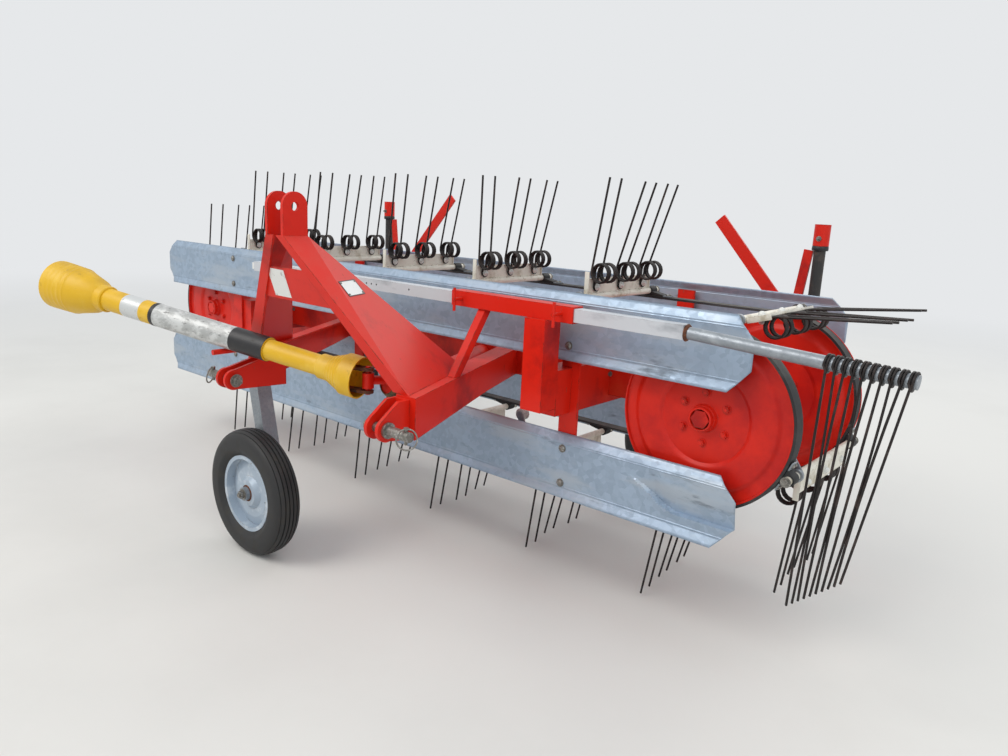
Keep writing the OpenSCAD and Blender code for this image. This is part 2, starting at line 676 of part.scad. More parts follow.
mast_xs = [450, 2960];
castor_xs = [castor_left_x, castor_right_x];
head_foot = rail_z - 230;
module rear_rail() color(paint_red) placed() {
    half = rail_s / 2;
    difference() {
        union() {
            translate([mast_xs[0] - 40, rail_y - half, rail_z - half])
                cube([mast_xs[1] - mast_xs[0] + 80, rail_s, rail_s]);
            for (x = mast_xs) rod_z(x, rail_y, 38, rail_z - 90, rail_z + 60);
            for (x = castor_xs) rod_z(x, rail_y, half, head_foot, rail_z - half + 1);
            // Columns: foot, tip and width of a brace
            for (b = [
                [[615, 900], [966, 1290], 50], [[2850, 900], [2533, 1252], 50],
                [[520, 900], [492, 1150], 36], [[2890, 900], [2918, 1150], 36],
            ]) flat_bar([b[0][0], rail_y, b[0][1]], [b[1][0], rail_y, b[1][1]], b[2], 10);
        }
        for (x = mast_xs) rod_z(x, rail_y, 22 + fit, rail_z - 91, rail_z + 61);
        for (x = castor_xs) rod_z(x, rail_y, stem_r + run_gap, head_foot - 1, rail_z - 60);
    }
}
module rear_masts() color(black) placed() for (x = mast_xs) rod_z(x, rail_y, 22, rail_z - 120, 1240);
module rear_mast_caps() color(paint_red) placed() for (x = mast_xs) difference() {
    rod_z(x, rail_y, 30, 1168, 1250);
    rod_z(x, rail_y, 22 + fit, 1167, 1240 + fit);
}

/* Drive */

gear_c = [2230, -325];
gear_turn = atan2(draft_front[0] - draft_rear[0], draft_rear[1] - draft_front[1]);
// Reach of the gearbox plate to the draft beam's side
gear_side = draft_front[0] - (gear_c[1] - draft_front[1]) * tan(gear_turn) - draft_w / 2;
gear_reach = (gear_side - gear_c[0]) * cos(gear_turn);
cross_r = 8;
module gearbox() color(paint_red) placed() {
    translate([gear_c[0], gear_c[1], axis_z]) rotate([0, 0, gear_turn]) {
        box([-62, -75, -70], [62, 75, 70]);
        box([61, -60, -45], [gear_reach - fit, 60, 45]);
    }
    run = beam_y + 40 - gear_c[1];
    intersection() {
        rod([gear_c[0], gear_c[1], axis_z], [gear_c[0] - run * tan(gear_turn), beam_y + 40, axis_z], 38);
        box([1500, -600, 0], [2600, beam_y, 1000]);
    }
    mouth = [gear_c[0], gear_c[1] - 112, axis_z + 33];
    rod([gear_c[0] + 10, gear_c[1] - 65, axis_z + 24], mouth, 46);
    rod(mouth, joint, 14);
    rod_z(joint[0], joint[1], 18, joint[2] - 24, joint[2] + 24);
    rod_z(joint[0], joint[1], cross_r, joint[2] - 44, joint[2] + 44);
}
// Inner half on +Z from the joint: hollow guard cone, then the tube that runs inside the outer half
tube_lap = 420;
inner_r = guard_r - 5.5;
module shaft_inner_half() color(yellow) placed() {
    along(joint, joint + shaft_way) rotate_extrude() polygon([
        [0, 70], [61, 70], [61, 26], [66, 26], [66, 76], [58, 84], [50, 135], [40, 150], [40, 169],
        [inner_r, 175], [inner_r, inner_len + tube_lap], [0, inner_len + tube_lap],
    ]);
    difference() {
        translate(joint) rotate([0, 0, atan2(shaft_way[1], shaft_way[0])]) for (z = [-40, 30]) {
            translate([0, 0, z]) cylinder(r = 18, h = 10);
            translate([0, -18, z]) cube([80, 36, 10]);
        }
        rod_z(joint[0], joint[1], cross_r + run_gap, joint[2] - 50, joint[2] + 50);
    }
}
// Outer half: guard tube over the inner one, then the core that carries the outer yoke
cone_root = outer_len - 245;
cone_wall = 6;
module shaft_outer_half() color(yellow) placed() along(joint, joint + shaft_way) translate([0, 0, inner_len]) {
    rotate_extrude() polygon([
        [inner_r + run_gap, 0], [guard_r, 0], [guard_r, cone_root], [22, cone_root], [22, outer_len - 80],
        [0, outer_len - 80], [0, tube_lap + 10], [inner_r + run_gap, tube_lap + 10],
    ]);
    translate([0, 0, outer_len - 84]) rotate([0, -14, 0]) {
        cylinder(r = 30, h = 60);
        translate([0, 0, 59]) cylinder(r = 26, h = 86);
    }
}
// Guard cone: a collar round the tube's end, a shoulder and a wide open mouth round the yoke
module outer_cone() color(yellow) placed() along(joint, joint + shaft_way) translate([0, 0, inner_len])
    rotate_extrude() polygon([
        [guard_r + fit, cone_root - 14], [46, cone_root - 14], [47, outer_len - 212], [60, outer_len - 193],
        [77, outer_len - 127], [80, outer_len - 117], [86, outer_len - 10], [86, outer_len], [82, outer_len],
        [80 - cone_wall, outer_len - 110], [60 - cone_wall, outer_len - 178], [40, outer_len - 190],
        [22 + fit, outer_len - 190], [22 + fit, cone_root + fit], [guard_r + fit, cone_root + fit],
    ]);

/* Wheels */

rim_half = tyre_w / 2 - 14;
flange_w = 8;
// Tyre on an axis along Y, its middle at y = 0, with beads between the rim's flanges
module tyre() rotate([90, 0, 0]) rotate_extrude($fn = 72) difference() {
    bead = rim_half - flange_w - fit;
    wall = tyre_w / 2 - 12;
    mid = (tyre_r + rim_r) / 2 - 2;
    union() {
        translate([rim_r - 8, -bead]) square([12, 2 * bead]);
        translate([rim_r + fit, -wall]) square([tyre_r - rim_r - 20, 2 * wall]);
        translate([mid, 0]) scale([tyre_r - mid, tyre_w / 2]) circle(1, $fn = 48);
    }
    translate([0, -tyre_w]) square([rim_r - 8, 2 * tyre_w]);
}
hub_out = 30;
hub_in = 42;
// Rim with a dished disc and a hub bored for the axle
module rim() rotate([90, 0, 0]) rotate_extrude($fn = 72) {
    seat = rim_r - 8 - fit;
    well = rim_r - 14;
    bore = axle_r + run_gap;
    w = rim_half - flange_w;
    polygon([
        [seat, -w], [seat, w], [well, w], [well, 4], [90, 14], [60, 14], [46, hub_out], [bore, hub_out],
        [bore, -hub_in], [40, -hub_in], [40, 8], [60, 8], [88, 8], [well, -2], [well, -w],
    ]);
    for (y = [w, -rim_half]) translate([well, y]) square([rim_r - well, flange_w]);
}
front_wheel = [front_pivot_x + trail, -front_pivot_y - 87, wheel_z];
module rim_front() color(zinc) placed() translate(front_wheel) rim();
module tyre_front() color(black) placed() translate(front_wheel) tyre();

// Front castor: stem, collar and a leaning square leg that carries a stub axle
module wheel_leg_front() color(zinc) placed() {
    x = front_pivot_x + trail;
    top = [front_pivot_x, -front_pivot_y, head_z - 20];
    foot = [x, -front_pivot_y, wheel_z - 30];
    rod_z(front_pivot_x, -front_pivot_y, stem_r, head_z - 30, head_z + 105);
    rod_z(front_pivot_x, -front_pivot_y, stem_r + 14, head_z - 26, head_z - fit);
    hull() for (p = [top, foot]) translate(p - [leg_s / 2, leg_s / 2, 0]) cube([leg_s, leg_s, 4]);
    rod_y(x, wheel_z, axle_r, front_wheel[1] - hub_out - 10, foot[1]);
    rod_y(x, wheel_z, axle_r + 12, front_wheel[1] - hub_out - 16, front_wheel[1] - hub_out - fit);
}

// Rear castor fork: stem, collar, crown and two tapered legs that trail towards -X
module castor(x) {
    crown = 2 * wheel_z + 16;
    rod_z(x, rail_y, stem_r, crown, rail_z - 62);
    rod_z(x, rail_y, stem_r + 16, crown, head_foot - fit);
    box([x - trail - 30, rail_y - tyre_w / 2 - 20, crown], [x + 35, rail_y + tyre_w / 2 + 20, crown + 12]);
    for (side = [-1, 1]) {
        y = rail_y + side * (tyre_w / 2 + 14) - 6;
        plate_y(y, 12) polygon([
            [x + 30, crown + 12], [x - trail - 30, crown + 12],
            [x - trail - 26, wheel_z - 24], [x - trail + 26, wheel_z - 24],
        ]);
    }
    rod_y(x - trail, wheel_z, axle_r, rail_y - tyre_w / 2 - 26, rail_y + tyre_w / 2 + 26);
}
module castor_left() color(zinc) placed() castor(castor_left_x);
module castor_right() color(zinc) placed() castor(castor_right_x);
module rim_left() color(zinc) placed() translate([castor_left_x - trail, rail_y, wheel_z]) rim();
module rim_right() color(zinc) placed() translate([castor_right_x - trail, rail_y, wheel_z]) rim();
module tyre_left() color(black) placed() translate([castor_left_x - trail, rail_y, wheel_z]) tyre();
module tyre_right() color(black) placed() translate([castor_right_x - trail, rail_y, wheel_z]) tyre();

main_beam();
cross_arm_left();
cross_arm_right();
draft_beam_right();
draft_arm_left();
mast_leg_right();
mast_leg_left();
mast_web();
hitch_foot_right();
hitch_foot_left();
lower_pin_right();
lower_pin_left();
sheave_front_left();
sheave_front_right();
sheave_rear_left();
sheave_rear_right();
sheave_shafts();
belt_front_runs();
belt_front_bends();
belt_rear_runs();
belt_rear_bends();
tine_bars_top();
tine_bars_right_end();
tine_bars_bottom();
tine_bar_left_end();
follower_levers();
sheet_front_upper();
sheet_front_lower();
sheet_rear_upper();
sheet_rear_lower();
sheet_posts();
deflector_sleeve();
sleeve_clamps();
deflector_bar();
deflector_tines();
rear_rail();
rear_masts();
rear_mast_caps();
gearbox();
shaft_inner_half();
shaft_outer_half();
outer_cone();
shaft_rest();
wheel_leg_front();
rim_front();
tyre_front();
castor_left();
castor_right();
rim_left();
rim_right();
tyre_left();
tyre_right();
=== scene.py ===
import math

import bmesh
import bpy
from bpy.props import FloatProperty, FloatVectorProperty, IntProperty, PointerProperty
from mathutils import Matrix, Vector, noise


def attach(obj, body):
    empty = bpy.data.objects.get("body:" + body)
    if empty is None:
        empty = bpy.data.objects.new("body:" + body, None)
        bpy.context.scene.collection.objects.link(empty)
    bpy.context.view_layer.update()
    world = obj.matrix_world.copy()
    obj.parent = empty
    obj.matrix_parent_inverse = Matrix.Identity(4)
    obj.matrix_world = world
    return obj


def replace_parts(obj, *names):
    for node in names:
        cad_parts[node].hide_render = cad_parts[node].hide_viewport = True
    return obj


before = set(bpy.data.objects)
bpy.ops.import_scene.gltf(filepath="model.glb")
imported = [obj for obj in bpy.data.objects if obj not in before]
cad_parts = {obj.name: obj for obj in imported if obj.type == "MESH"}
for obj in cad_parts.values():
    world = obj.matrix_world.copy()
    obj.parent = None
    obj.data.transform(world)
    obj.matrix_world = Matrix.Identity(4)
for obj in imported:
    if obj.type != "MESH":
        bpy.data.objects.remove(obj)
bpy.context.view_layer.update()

bl_info = {
    "name": "Belt hay rake dressing",
    "version": (1, 0, 0),
    "blender": (4, 5, 0),
    "location": "View3D > Sidebar > Hay rake",
    "description": "Wires, bolts, tyres, guards, sheets and finishes of a three-point mounted belt hay rake",
    "category": "Object",
}

# Sizes of the rack in millimetres, as the solids have them. X runs along the belts from the sheets' left
# end, Y = 0 is the front sheets' outer face and Z = 0 is the ground.
ORIGIN = Vector((1815.5, 109, 0))
# The sheaves' axes and rim, and the belts' front edges
LEFT_X, RIGHT_X, AXIS_Z, SHEAVE_R = 360, 3055, 690, 265
BELT_Y, REAR_BELT_Y = 45, 555
# How far the bars' rods and the belt's middle lie from the sheaves' axes
ROD_OUT, LOOP_R = 291.3, 269.3
# Where the first bar lies along the belt, and the way from bar to bar
BAR_START = 198
BAR_PITCH = (2 * (RIGHT_X - LEFT_X) + 2 * math.pi * LOOP_R) / 14
# The sheets' size, their corners' bevel, where the dent starts, their lower edges, the rear pair's face
SHEET_LEN, SHEET_H, BEVEL_LEN, BEVEL_H, DENT_X = 3200, 214, 58.5, 65, 2835
LOWER_SHEET_Z, UPPER_SHEET_Z, RACK_DEPTH = 332, 794, 787
# The posts that the sheets are bolted to, and the rear rail
POST_XS, RAIL_Y = (617, 2595), 1120
GEARBOX = Vector((2230, -325, AXIS_Z))
# The inner joint of the drive shaft, and the shaft's way from it
JOINT = Vector((2215, -505, 728))
SHAFT_WAY = Vector((-0.945, -0.296, 0.139)).normalized()
# Columns: the wheel's middle, the body it turns with and the body that carries it
WHEELS = {
    "front": (Vector((1662, -560, 228)), "front_wheel", "front_leg"),
    "left": (Vector((543, RAIL_Y, 228)), "castor_wheel_left", "castor_fork_left"),
    "right": (Vector((2403, RAIL_Y, 228)), "castor_wheel_right", "castor_fork_right"),
}
X_AXIS, Y_AXIS, Z_AXIS = Vector((1, 0, 0)), Vector((0, 1, 0)), Vector((0, 0, 1))
# The hitch's middle, the lower pins' depth and height, and the way out to each foot
HITCH_X, HITCH_Y, HITCH_Z, FOOT_REACH = 2072, -660, 660, 410.5
# The slide bar's round end tube
END_TUBE_ROOT, END_TUBE_TIP = Vector((3020, -100, 957)), Vector((3630, -100, 923))
MATERIALS = {}


def linear(code):
    """A colour as linear red, green and blue, from an sRGB hex code or from one that is linear already."""
    if not isinstance(code, str):
        return tuple(code)
    parts = [int(code[i:i + 2], 16) / 255 for i in (1, 3, 5)]
    return tuple(c / 12.92 if c <= 0.04045 else ((c + 0.055) / 1.055) ** 2.4 for c in parts)


def colour(name, code, text):
    return FloatVectorProperty(name=name, description=text, subtype="COLOR", size=3, min=0, max=1,
                               default=linear(code))


def length(name, value, text, low=0.0, high=10.0):
    return FloatProperty(name=name, description=text, default=value, min=low, max=high, subtype="DISTANCE",
                         unit="LENGTH")


# Settings


class RakeFinishes(bpy.types.PropertyGroup):
    """Colours of the rake's finishes."""
    red: colour("Red enamel", "#d2210f", "Brushed red enamel of the frame and mast")
    red_faded: colour("Faded red", "#dc4326", "Where sun and dust have faded the enamel")
    rust: colour("Rust", "#6b3a22", "Rust at edges, holes and scratches")
    zinc: colour("Galvanised sheet", "#93a4b6", "Hot-dip galvanised steel sheet")
    zinc_dull: colour("Dull zinc", "#8c9298", "Older galvanised tube and brackets")
    cream: colour("Cream enamel", "#e2ddcf", "Tine bars and their plates")
    wire: colour("Spring steel", "#221d1c", "Oil-blackened tine wire")
    belt: colour("Belt rubber", "#242426", "Rubber and canvas belt")
    yellow: colour("Guard yellow", "#d9ab12", "Moulded shaft guard")
    tyre: colour("Tyre rubber", "#222223", "Worn tyre")
    rim: colour("Rim paint", "#a3b0bd", "Sprayed wheel rim")


class RakeTines(bpy.types.PropertyGroup):
    """Sizes of the spring tines on the bars."""
    wire_radius: length("Wire radius", 0.00375, "Radius of the tine wire", 0.002, 0.0045)
    coil_radius: length("Coil radius", 0.031, "Mean radius of a coil", 0.025, 0.033)
    turns: IntProperty(name="Coil turns", description="Full turns between the tine and its strand", default=3,
                       min=1, max=3)
    tine_length: length("Tine length", 0.3078, "Straight wire beyond the coil", 0.2, 0.31)


class RakeWheels(bpy.types.PropertyGroup):
    """Sizes of the ribbed tyres."""
    rib_depth: length("Groove depth", 0.005, "Depth of the grooves between the ribs", 0.002, 0.008)
    rib_count: IntProperty(name="Ribs", description="Ribs round the tread", default=5, min=3, max=7)


class RakeFasteners(bpy.types.PropertyGroup):
    """Sizes of the hexagon bolts."""
    head_width: length("Head width", 0.019, "Across the corners of a bolt head", 0.01, 0.03)
    head_height: length("Head height", 0.0075, "Height of a bolt head", 0.004, 0.012)
    washer_radius: length("Washer radius", 0.013, "Radius of a flat washer", 0.008, 0.02)


class RakeStage(bpy.types.PropertyGroup):
    """Floor, lights and camera."""
    lens: FloatProperty(name="Lens", description="Focal length on a 36 mm sensor", default=27.896, min=20, max=60,
                        unit="CAMERA")
    floor: colour("Floor", "#dad8d3", "Plain pale floor")
    sky: colour("Backdrop", "#e6e8ea", "Plain pale backdrop")


# Meshes


def place(x, y, z):
    """A point of the rack, in millimetres, as a point of the frame, in metres."""
    return (Vector((x, y, z)) - ORIGIN) / 1000


def spin(turn, axis):
    """A turn by degrees about an axis."""
    return Matrix.Rotation(math.radians(turn), 4, axis)


def at(x, y, z, turn=0.0, axis="Y"):
    """The place of a local frame in millimetres, turned by degrees about an axis through it."""
    return Matrix.Translation((x, y, z)) @ spin(turn, axis)


def arc(radius, angles, x=0.0, z=0.0):
    """Points of a circle round x and z, at angles in degrees."""
    return [(x + radius * math.cos(math.radians(a)), z + radius * math.sin(math.radians(a))) for a in angles]


def towards(origin, way):
    """A local frame whose +Z points along way."""
    return Matrix.Translation(origin) @ Vector(way).to_track_quat("Z", "Y").to_matrix().to_4x4()


def add_faces(bm, points, faces, where):
    verts = [bm.verts.new(place(*(where @ Vector(p)))) for p in points]
    for f in faces:
        bm.faces.new([verts[i] for i in f])


def add_block(bm, low, high, where=Matrix.Identity(4)):
    x0, y0, z0 = low
    x1, y1, z1 = high
    points = [(x, y, z) for z in (z0, z1) for x, y in ((x0, y0), (x1, y0), (x1, y1), (x0, y1))]
    faces = [(3, 2, 1, 0), (4, 5, 6, 7)] + [(k, (k + 1) % 4, 4 + (k + 1) % 4, 4 + k) for k in range(4)]
    add_faces(bm, points, faces, where)


def add_turned(bm, profile, where=Matrix.Identity(4), steps=32):
    """Turns a closed profile of radius and height about the local Z axis."""
    n = len(profile)
    rings = []
    for k in range(steps):
        a = 2 * math.pi * k / steps
        ring = []
        for j, (r, h) in enumerate(profile):
            if r < 1e-6 and k:
                ring.append(rings[0][j])
            else:
                ring.append(bm.verts.new(place(*(where @ Vector((r * math.cos(a), r * math.sin(a), h))))))
        rings.append(ring)
    for k in range(steps):
        a, b = rings[k], rings[(k + 1) % steps]
        for j in range(n):
            i = (j + 1) % n
            corners = [a[j], b[j], b[i], a[i]]
            loop = [v for c, v in enumerate(corners) if v not in corners[:c]]
            if len(loop) > 2:
                bm.faces.new(loop)


def add_prism(bm, outline, low, high, where=Matrix.Identity(4)):
    """An outline in local X and Z, thick along local Y."""
    n = len(outline)
    points = [(x, low, z) for x, z in outline] + [(x, high, z) for x, z in outline]
    faces = [tuple(range(n)), tuple(range(2 * n - 1, n - 1, -1))]
    faces += [(k, n + k, n + (k + 1) % n, (k + 1) % n) for k in range(n)]
    add_faces(bm, points, faces, where)


def finish_piece(name, bm, body, finish, bevel=0.0, smooth=35.0):
    """Makes an object at the origin from a mesh in the frame and lets it ride on a body."""
    bmesh.ops.remove_doubles(bm, verts=bm.verts, dist=1e-6)
    bmesh.ops.recalc_face_normals(bm, faces=bm.faces)
    if bevel:
        edges = [e for e in bm.edges if len(e.link_faces) == 2 and e.calc_face_angle(0) > math.radians(40)]
        bmesh.ops.bevel(bm, geom=edges, offset=bevel / 1000, segments=2, profile=0.6, affect="EDGES",
                        clamp_overlap=True)
    return ride_mesh(name, bm, body, finish, smooth)


def ride_mesh(name, bm, body, finish, smooth):
    """An object with a finish and soft shading up to an angle, on a body."""
    mesh = bpy.data.meshes.new(name)
    bm.to_mesh(mesh)
    bm.free()
    mesh.shade_smooth()
    mesh.set_sharp_from_angle(angle=math.radians(smooth))
    mesh.materials.append(MATERIALS[finish])
    obj = bpy.data.objects.new(name, mesh)
    bpy.context.scene.collection.objects.link(obj)
    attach(obj, body)
    return obj


# Geometry Nodes


def feed(tree, socket, value):
    """Gives a socket a value, or links it to the socket that feeds it."""
    if isinstance(value, bpy.types.NodeSocket):
        tree.links.new(value, socket)
    else:
        socket.default_value = value


def add_node(tree, kind, settings=None, inputs=None):
    """Adds one node with its settings; an input is a value, or the socket that feeds it."""
    made = tree.nodes.new(kind)
    for key, value in (settings or {}).items():
        setattr(made, key, value)
    for key, value in (inputs or {}).items():
        feed(tree, made.inputs[key], value)
    return made


def new_group(name, inputs):
    """A geometry tree with named inputs of a kind and default, and its group input and output nodes."""
    tree = bpy.data.node_groups.new(name, "GeometryNodeTree")
    tree.interface.new_socket("Geometry", in_out="INPUT", socket_type="NodeSocketGeometry")
    for label, kind, value in inputs:
        socket = tree.interface.new_socket(label, in_out="INPUT", socket_type=kind)
        if value is not None:
            socket.default_value = value
    tree.interface.new_socket("Geometry", in_out="OUTPUT", socket_type="NodeSocketGeometry")
    return tree, tree.nodes.new("NodeGroupInput"), tree.nodes.new("NodeGroupOutput")


def end_group(tree, geometry, start, output):
    real = add_node(tree, "GeometryNodeRealizeInstances", None, {"Geometry": geometry})
    dressed = add_node(tree, "GeometryNodeSetMaterial", None, {
        "Geometry": real.outputs[0], "Material": start.outputs["Material"]})
    tree.links.new(dressed.outputs[0], output.inputs[0])
    return tree


def end_on_points(tree, parts, start, output):
    """Joins the parts and puts them on each point, turned along the point's aim."""
    joined = tree.nodes.new("GeometryNodeJoinGeometry")
    for part in parts:
        tree.links.new(part, joined.inputs[0])
    aim = add_node(tree, "GeometryNodeInputNamedAttribute", {"data_type": "FLOAT_VECTOR"}, {"Name": "aim"})
    turn = add_node(tree, "FunctionNodeAlignRotationToVector", {"axis": "Z"}, {"Vector": aim.outputs["Attribute"]})
    spread = add_node(tree, "GeometryNodeInstanceOnPoints", None, {
        "Points": start.outputs["Geometry"], "Instance": joined.outputs[0], "Rotation": turn.outputs[0]})
    return end_group(tree, spread.outputs[0], start, output)


def wire_tree():
    """Round wire along each path of edges."""
    tree, start, output = new_group("wire_along_paths", [
        ("Wire radius", "NodeSocketFloat", 0.00375), ("Sides", "NodeSocketInt", 8),
        ("Material", "NodeSocketMaterial", None)])
    curve = add_node(tree, "GeometryNodeMeshToCurve", None, {"Mesh": start.outputs["Geometry"]})
    ring = add_node(tree, "GeometryNodeCurvePrimitiveCircle", None, {
        "Resolution": start.outputs["Sides"], "Radius": start.outputs["Wire radius"]})
    tube = add_node(tree, "GeometryNodeCurveToMesh", None, {
        "Curve": curve.outputs[0], "Profile Curve": ring.outputs[0], "Fill Caps": True})
    soft = add_node(tree, "GeometryNodeSetShadeSmooth", None, {"Geometry": tube.outputs[0]})
    return end_group(tree, soft.outputs[0], start, output)


def bolt_tree():
    """A washer, a hexagon head or nut and the end of its thread on each point, along the point's aim."""
    tree, start, output = new_group("bolts_on_points", [
        ("Head width", "NodeSocketFloat", 0.019), ("Head height", "NodeSocketFloat", 0.0075),
        ("Washer radius", "NodeSocketFloat", 0.013), ("Thread length", "NodeSocketFloat", 0.004),
        ("Material", "NodeSocketMaterial", None)])

    def disc(vertices, radius, depth, base):
        lift = add_node(tree, "ShaderNodeMath", {"operation": "MULTIPLY_ADD"}, {0: depth, 1: 0.5, 2: base})
        shape = add_node(tree, "GeometryNodeMeshCylinder", None, {
            "Vertices": vertices, "Radius": radius, "Depth": depth})
        move = add_node(tree, "ShaderNodeCombineXYZ", None, {"Z": lift.outputs[0]})
        return add_node(tree, "GeometryNodeTransform", None, {
            "Geometry": shape.outputs["Mesh"], "Translation": move.outputs[0]}).outputs[0]

    washer, height = 0.0015, start.outputs["Head height"]
    half, crown, thread = (add_node(tree, "ShaderNodeMath", {"operation": "MULTIPLY"}, {
        0: start.outputs["Head width"], 1: share}).outputs[0] for share in (0.5, 0.42, 0.27))
    above = add_node(tree, "ShaderNodeMath", {"operation": "ADD"}, {0: height, 1: washer}).outputs[0]
    return end_on_points(tree, [
        disc(12, thread, start.outputs["Thread length"], above), disc(20, crown, 0.0006, above),
        disc(6, half, height, washer), disc(20, start.outputs["Washer radius"], washer, 0.0)], start, output)


def dome_tree():
    """A round-headed bolt on each point, along the point's aim."""
    tree, start, output = new_group("domes_on_points", [
        ("Head radius", "NodeSocketFloat", 0.011), ("Dome height", "NodeSocketFloat", 0.006),
        ("Washer radius", "NodeSocketFloat", 0.014), ("Material", "NodeSocketMaterial", None)])
    radius, height = start.outputs["Head radius"], start.outputs["Dome height"]
    ball = add_node(tree, "GeometryNodeMeshUVSphere", None, {"Segments": 16, "Rings": 8, "Radius": radius})
    flat = add_node(tree, "ShaderNodeMath", {"operation": "DIVIDE"}, {0: height, 1: radius})
    size = add_node(tree, "ShaderNodeCombineXYZ", None, {"X": 1.0, "Y": 1.0, "Z": flat.outputs[0]})
    lift = add_node(tree, "ShaderNodeCombineXYZ", None, {"Z": 0.002})
    dome = add_node(tree, "GeometryNodeTransform", None, {
        "Geometry": ball.outputs["Mesh"], "Scale": size.outputs[0], "Translation": lift.outputs[0]})
    soft = add_node(tree, "GeometryNodeSetShadeSmooth", None, {"Geometry": dome.outputs[0]})
    ring = add_node(tree, "GeometryNodeMeshCylinder", None, {
        "Vertices": 20, "Radius": start.outputs["Washer radius"], "Depth": 0.003})
    return end_on_points(tree, [soft.outputs[0], ring.outputs["Mesh"]], start, output)


TREES = {"wire_along_paths": wire_tree, "bolts_on_points": bolt_tree, "domes_on_points": dome_tree}


def grow(name, mesh, kind, values, body, finish):
    """Runs one of the trees on a mesh and keeps the result as a plain mesh that rides on a body."""
    tree = bpy.data.node_groups.get(kind) or TREES[kind]()
    values = {**values, "Material": MATERIALS[finish]}
    obj = bpy.data.objects.new(name, mesh)
    bpy.context.scene.collection.objects.link(obj)
    modifier = obj.modifiers.new("grow", "NODES")
    modifier.node_group = tree
    for item in tree.interface.items_tree:
        if item.in_out == "INPUT" and item.name in values:
            modifier[item.identifier] = values[item.name]
    graph = bpy.context.evaluated_depsgraph_get()
    result = bpy.data.meshes.new_from_object(obj.evaluated_get(graph))
    obj.modifiers.remove(modifier)
    if not len(result.polygons):
        raise RuntimeError("no faces came out of the tree for " + name)
    obj.data = result
    result.name = name
    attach(obj, body)
    return obj


def paths_mesh(name, paths):
    """A mesh of edges along lists of points, in metres."""
    mesh = bpy.data.meshes.new(name)
    points, edges = [], []
    for path in paths:
        first = len(points)
        points += [tuple(p) for p in path]
        edges += [(first + k, first + k + 1) for k in range(len(path) - 1)]
    mesh.from_pydata(points, edges, [])
    return mesh


def points_mesh(name, spots):
    """A mesh of points, each with the way that a bolt on it points. Columns: point in millimetres, way."""
    mesh = bpy.data.meshes.new(name)
    mesh.from_pydata([tuple(place(*p)) for p, way in spots], [], [])
    aims = mesh.attributes.new("aim", "FLOAT_VECTOR", "POINT")
    for item, (p, way) in zip(aims.data, spots):
        item.vector = Vector(way).normalized()
    return mesh


def wires(name, paths, radius, body, finish, sides=8):
    return grow(name, paths_mesh(name, paths), "wire_along_paths", {
        "Wire radius": radius, "Sides": sides}, body, finish)


def bolts(name, spots, body, finish, scale=1.0, thread=0.004):
    s = bpy.context.scene.rake_fasteners
    return grow(name, points_mesh(name, spots), "bolts_on_points", {
        "Head width": s.head_width * scale, "Head height": s.head_height * scale,
        "Washer radius": s.washer_radius * scale, "Thread length": thread}, body, finish)


def domes(name, spots, radius, height, body, finish):
    return grow(name, points_mesh(name, spots), "domes_on_points", {
        "Head radius": radius, "Dome height": height, "Washer radius": radius * 1.25}, body, finish)


# Materials


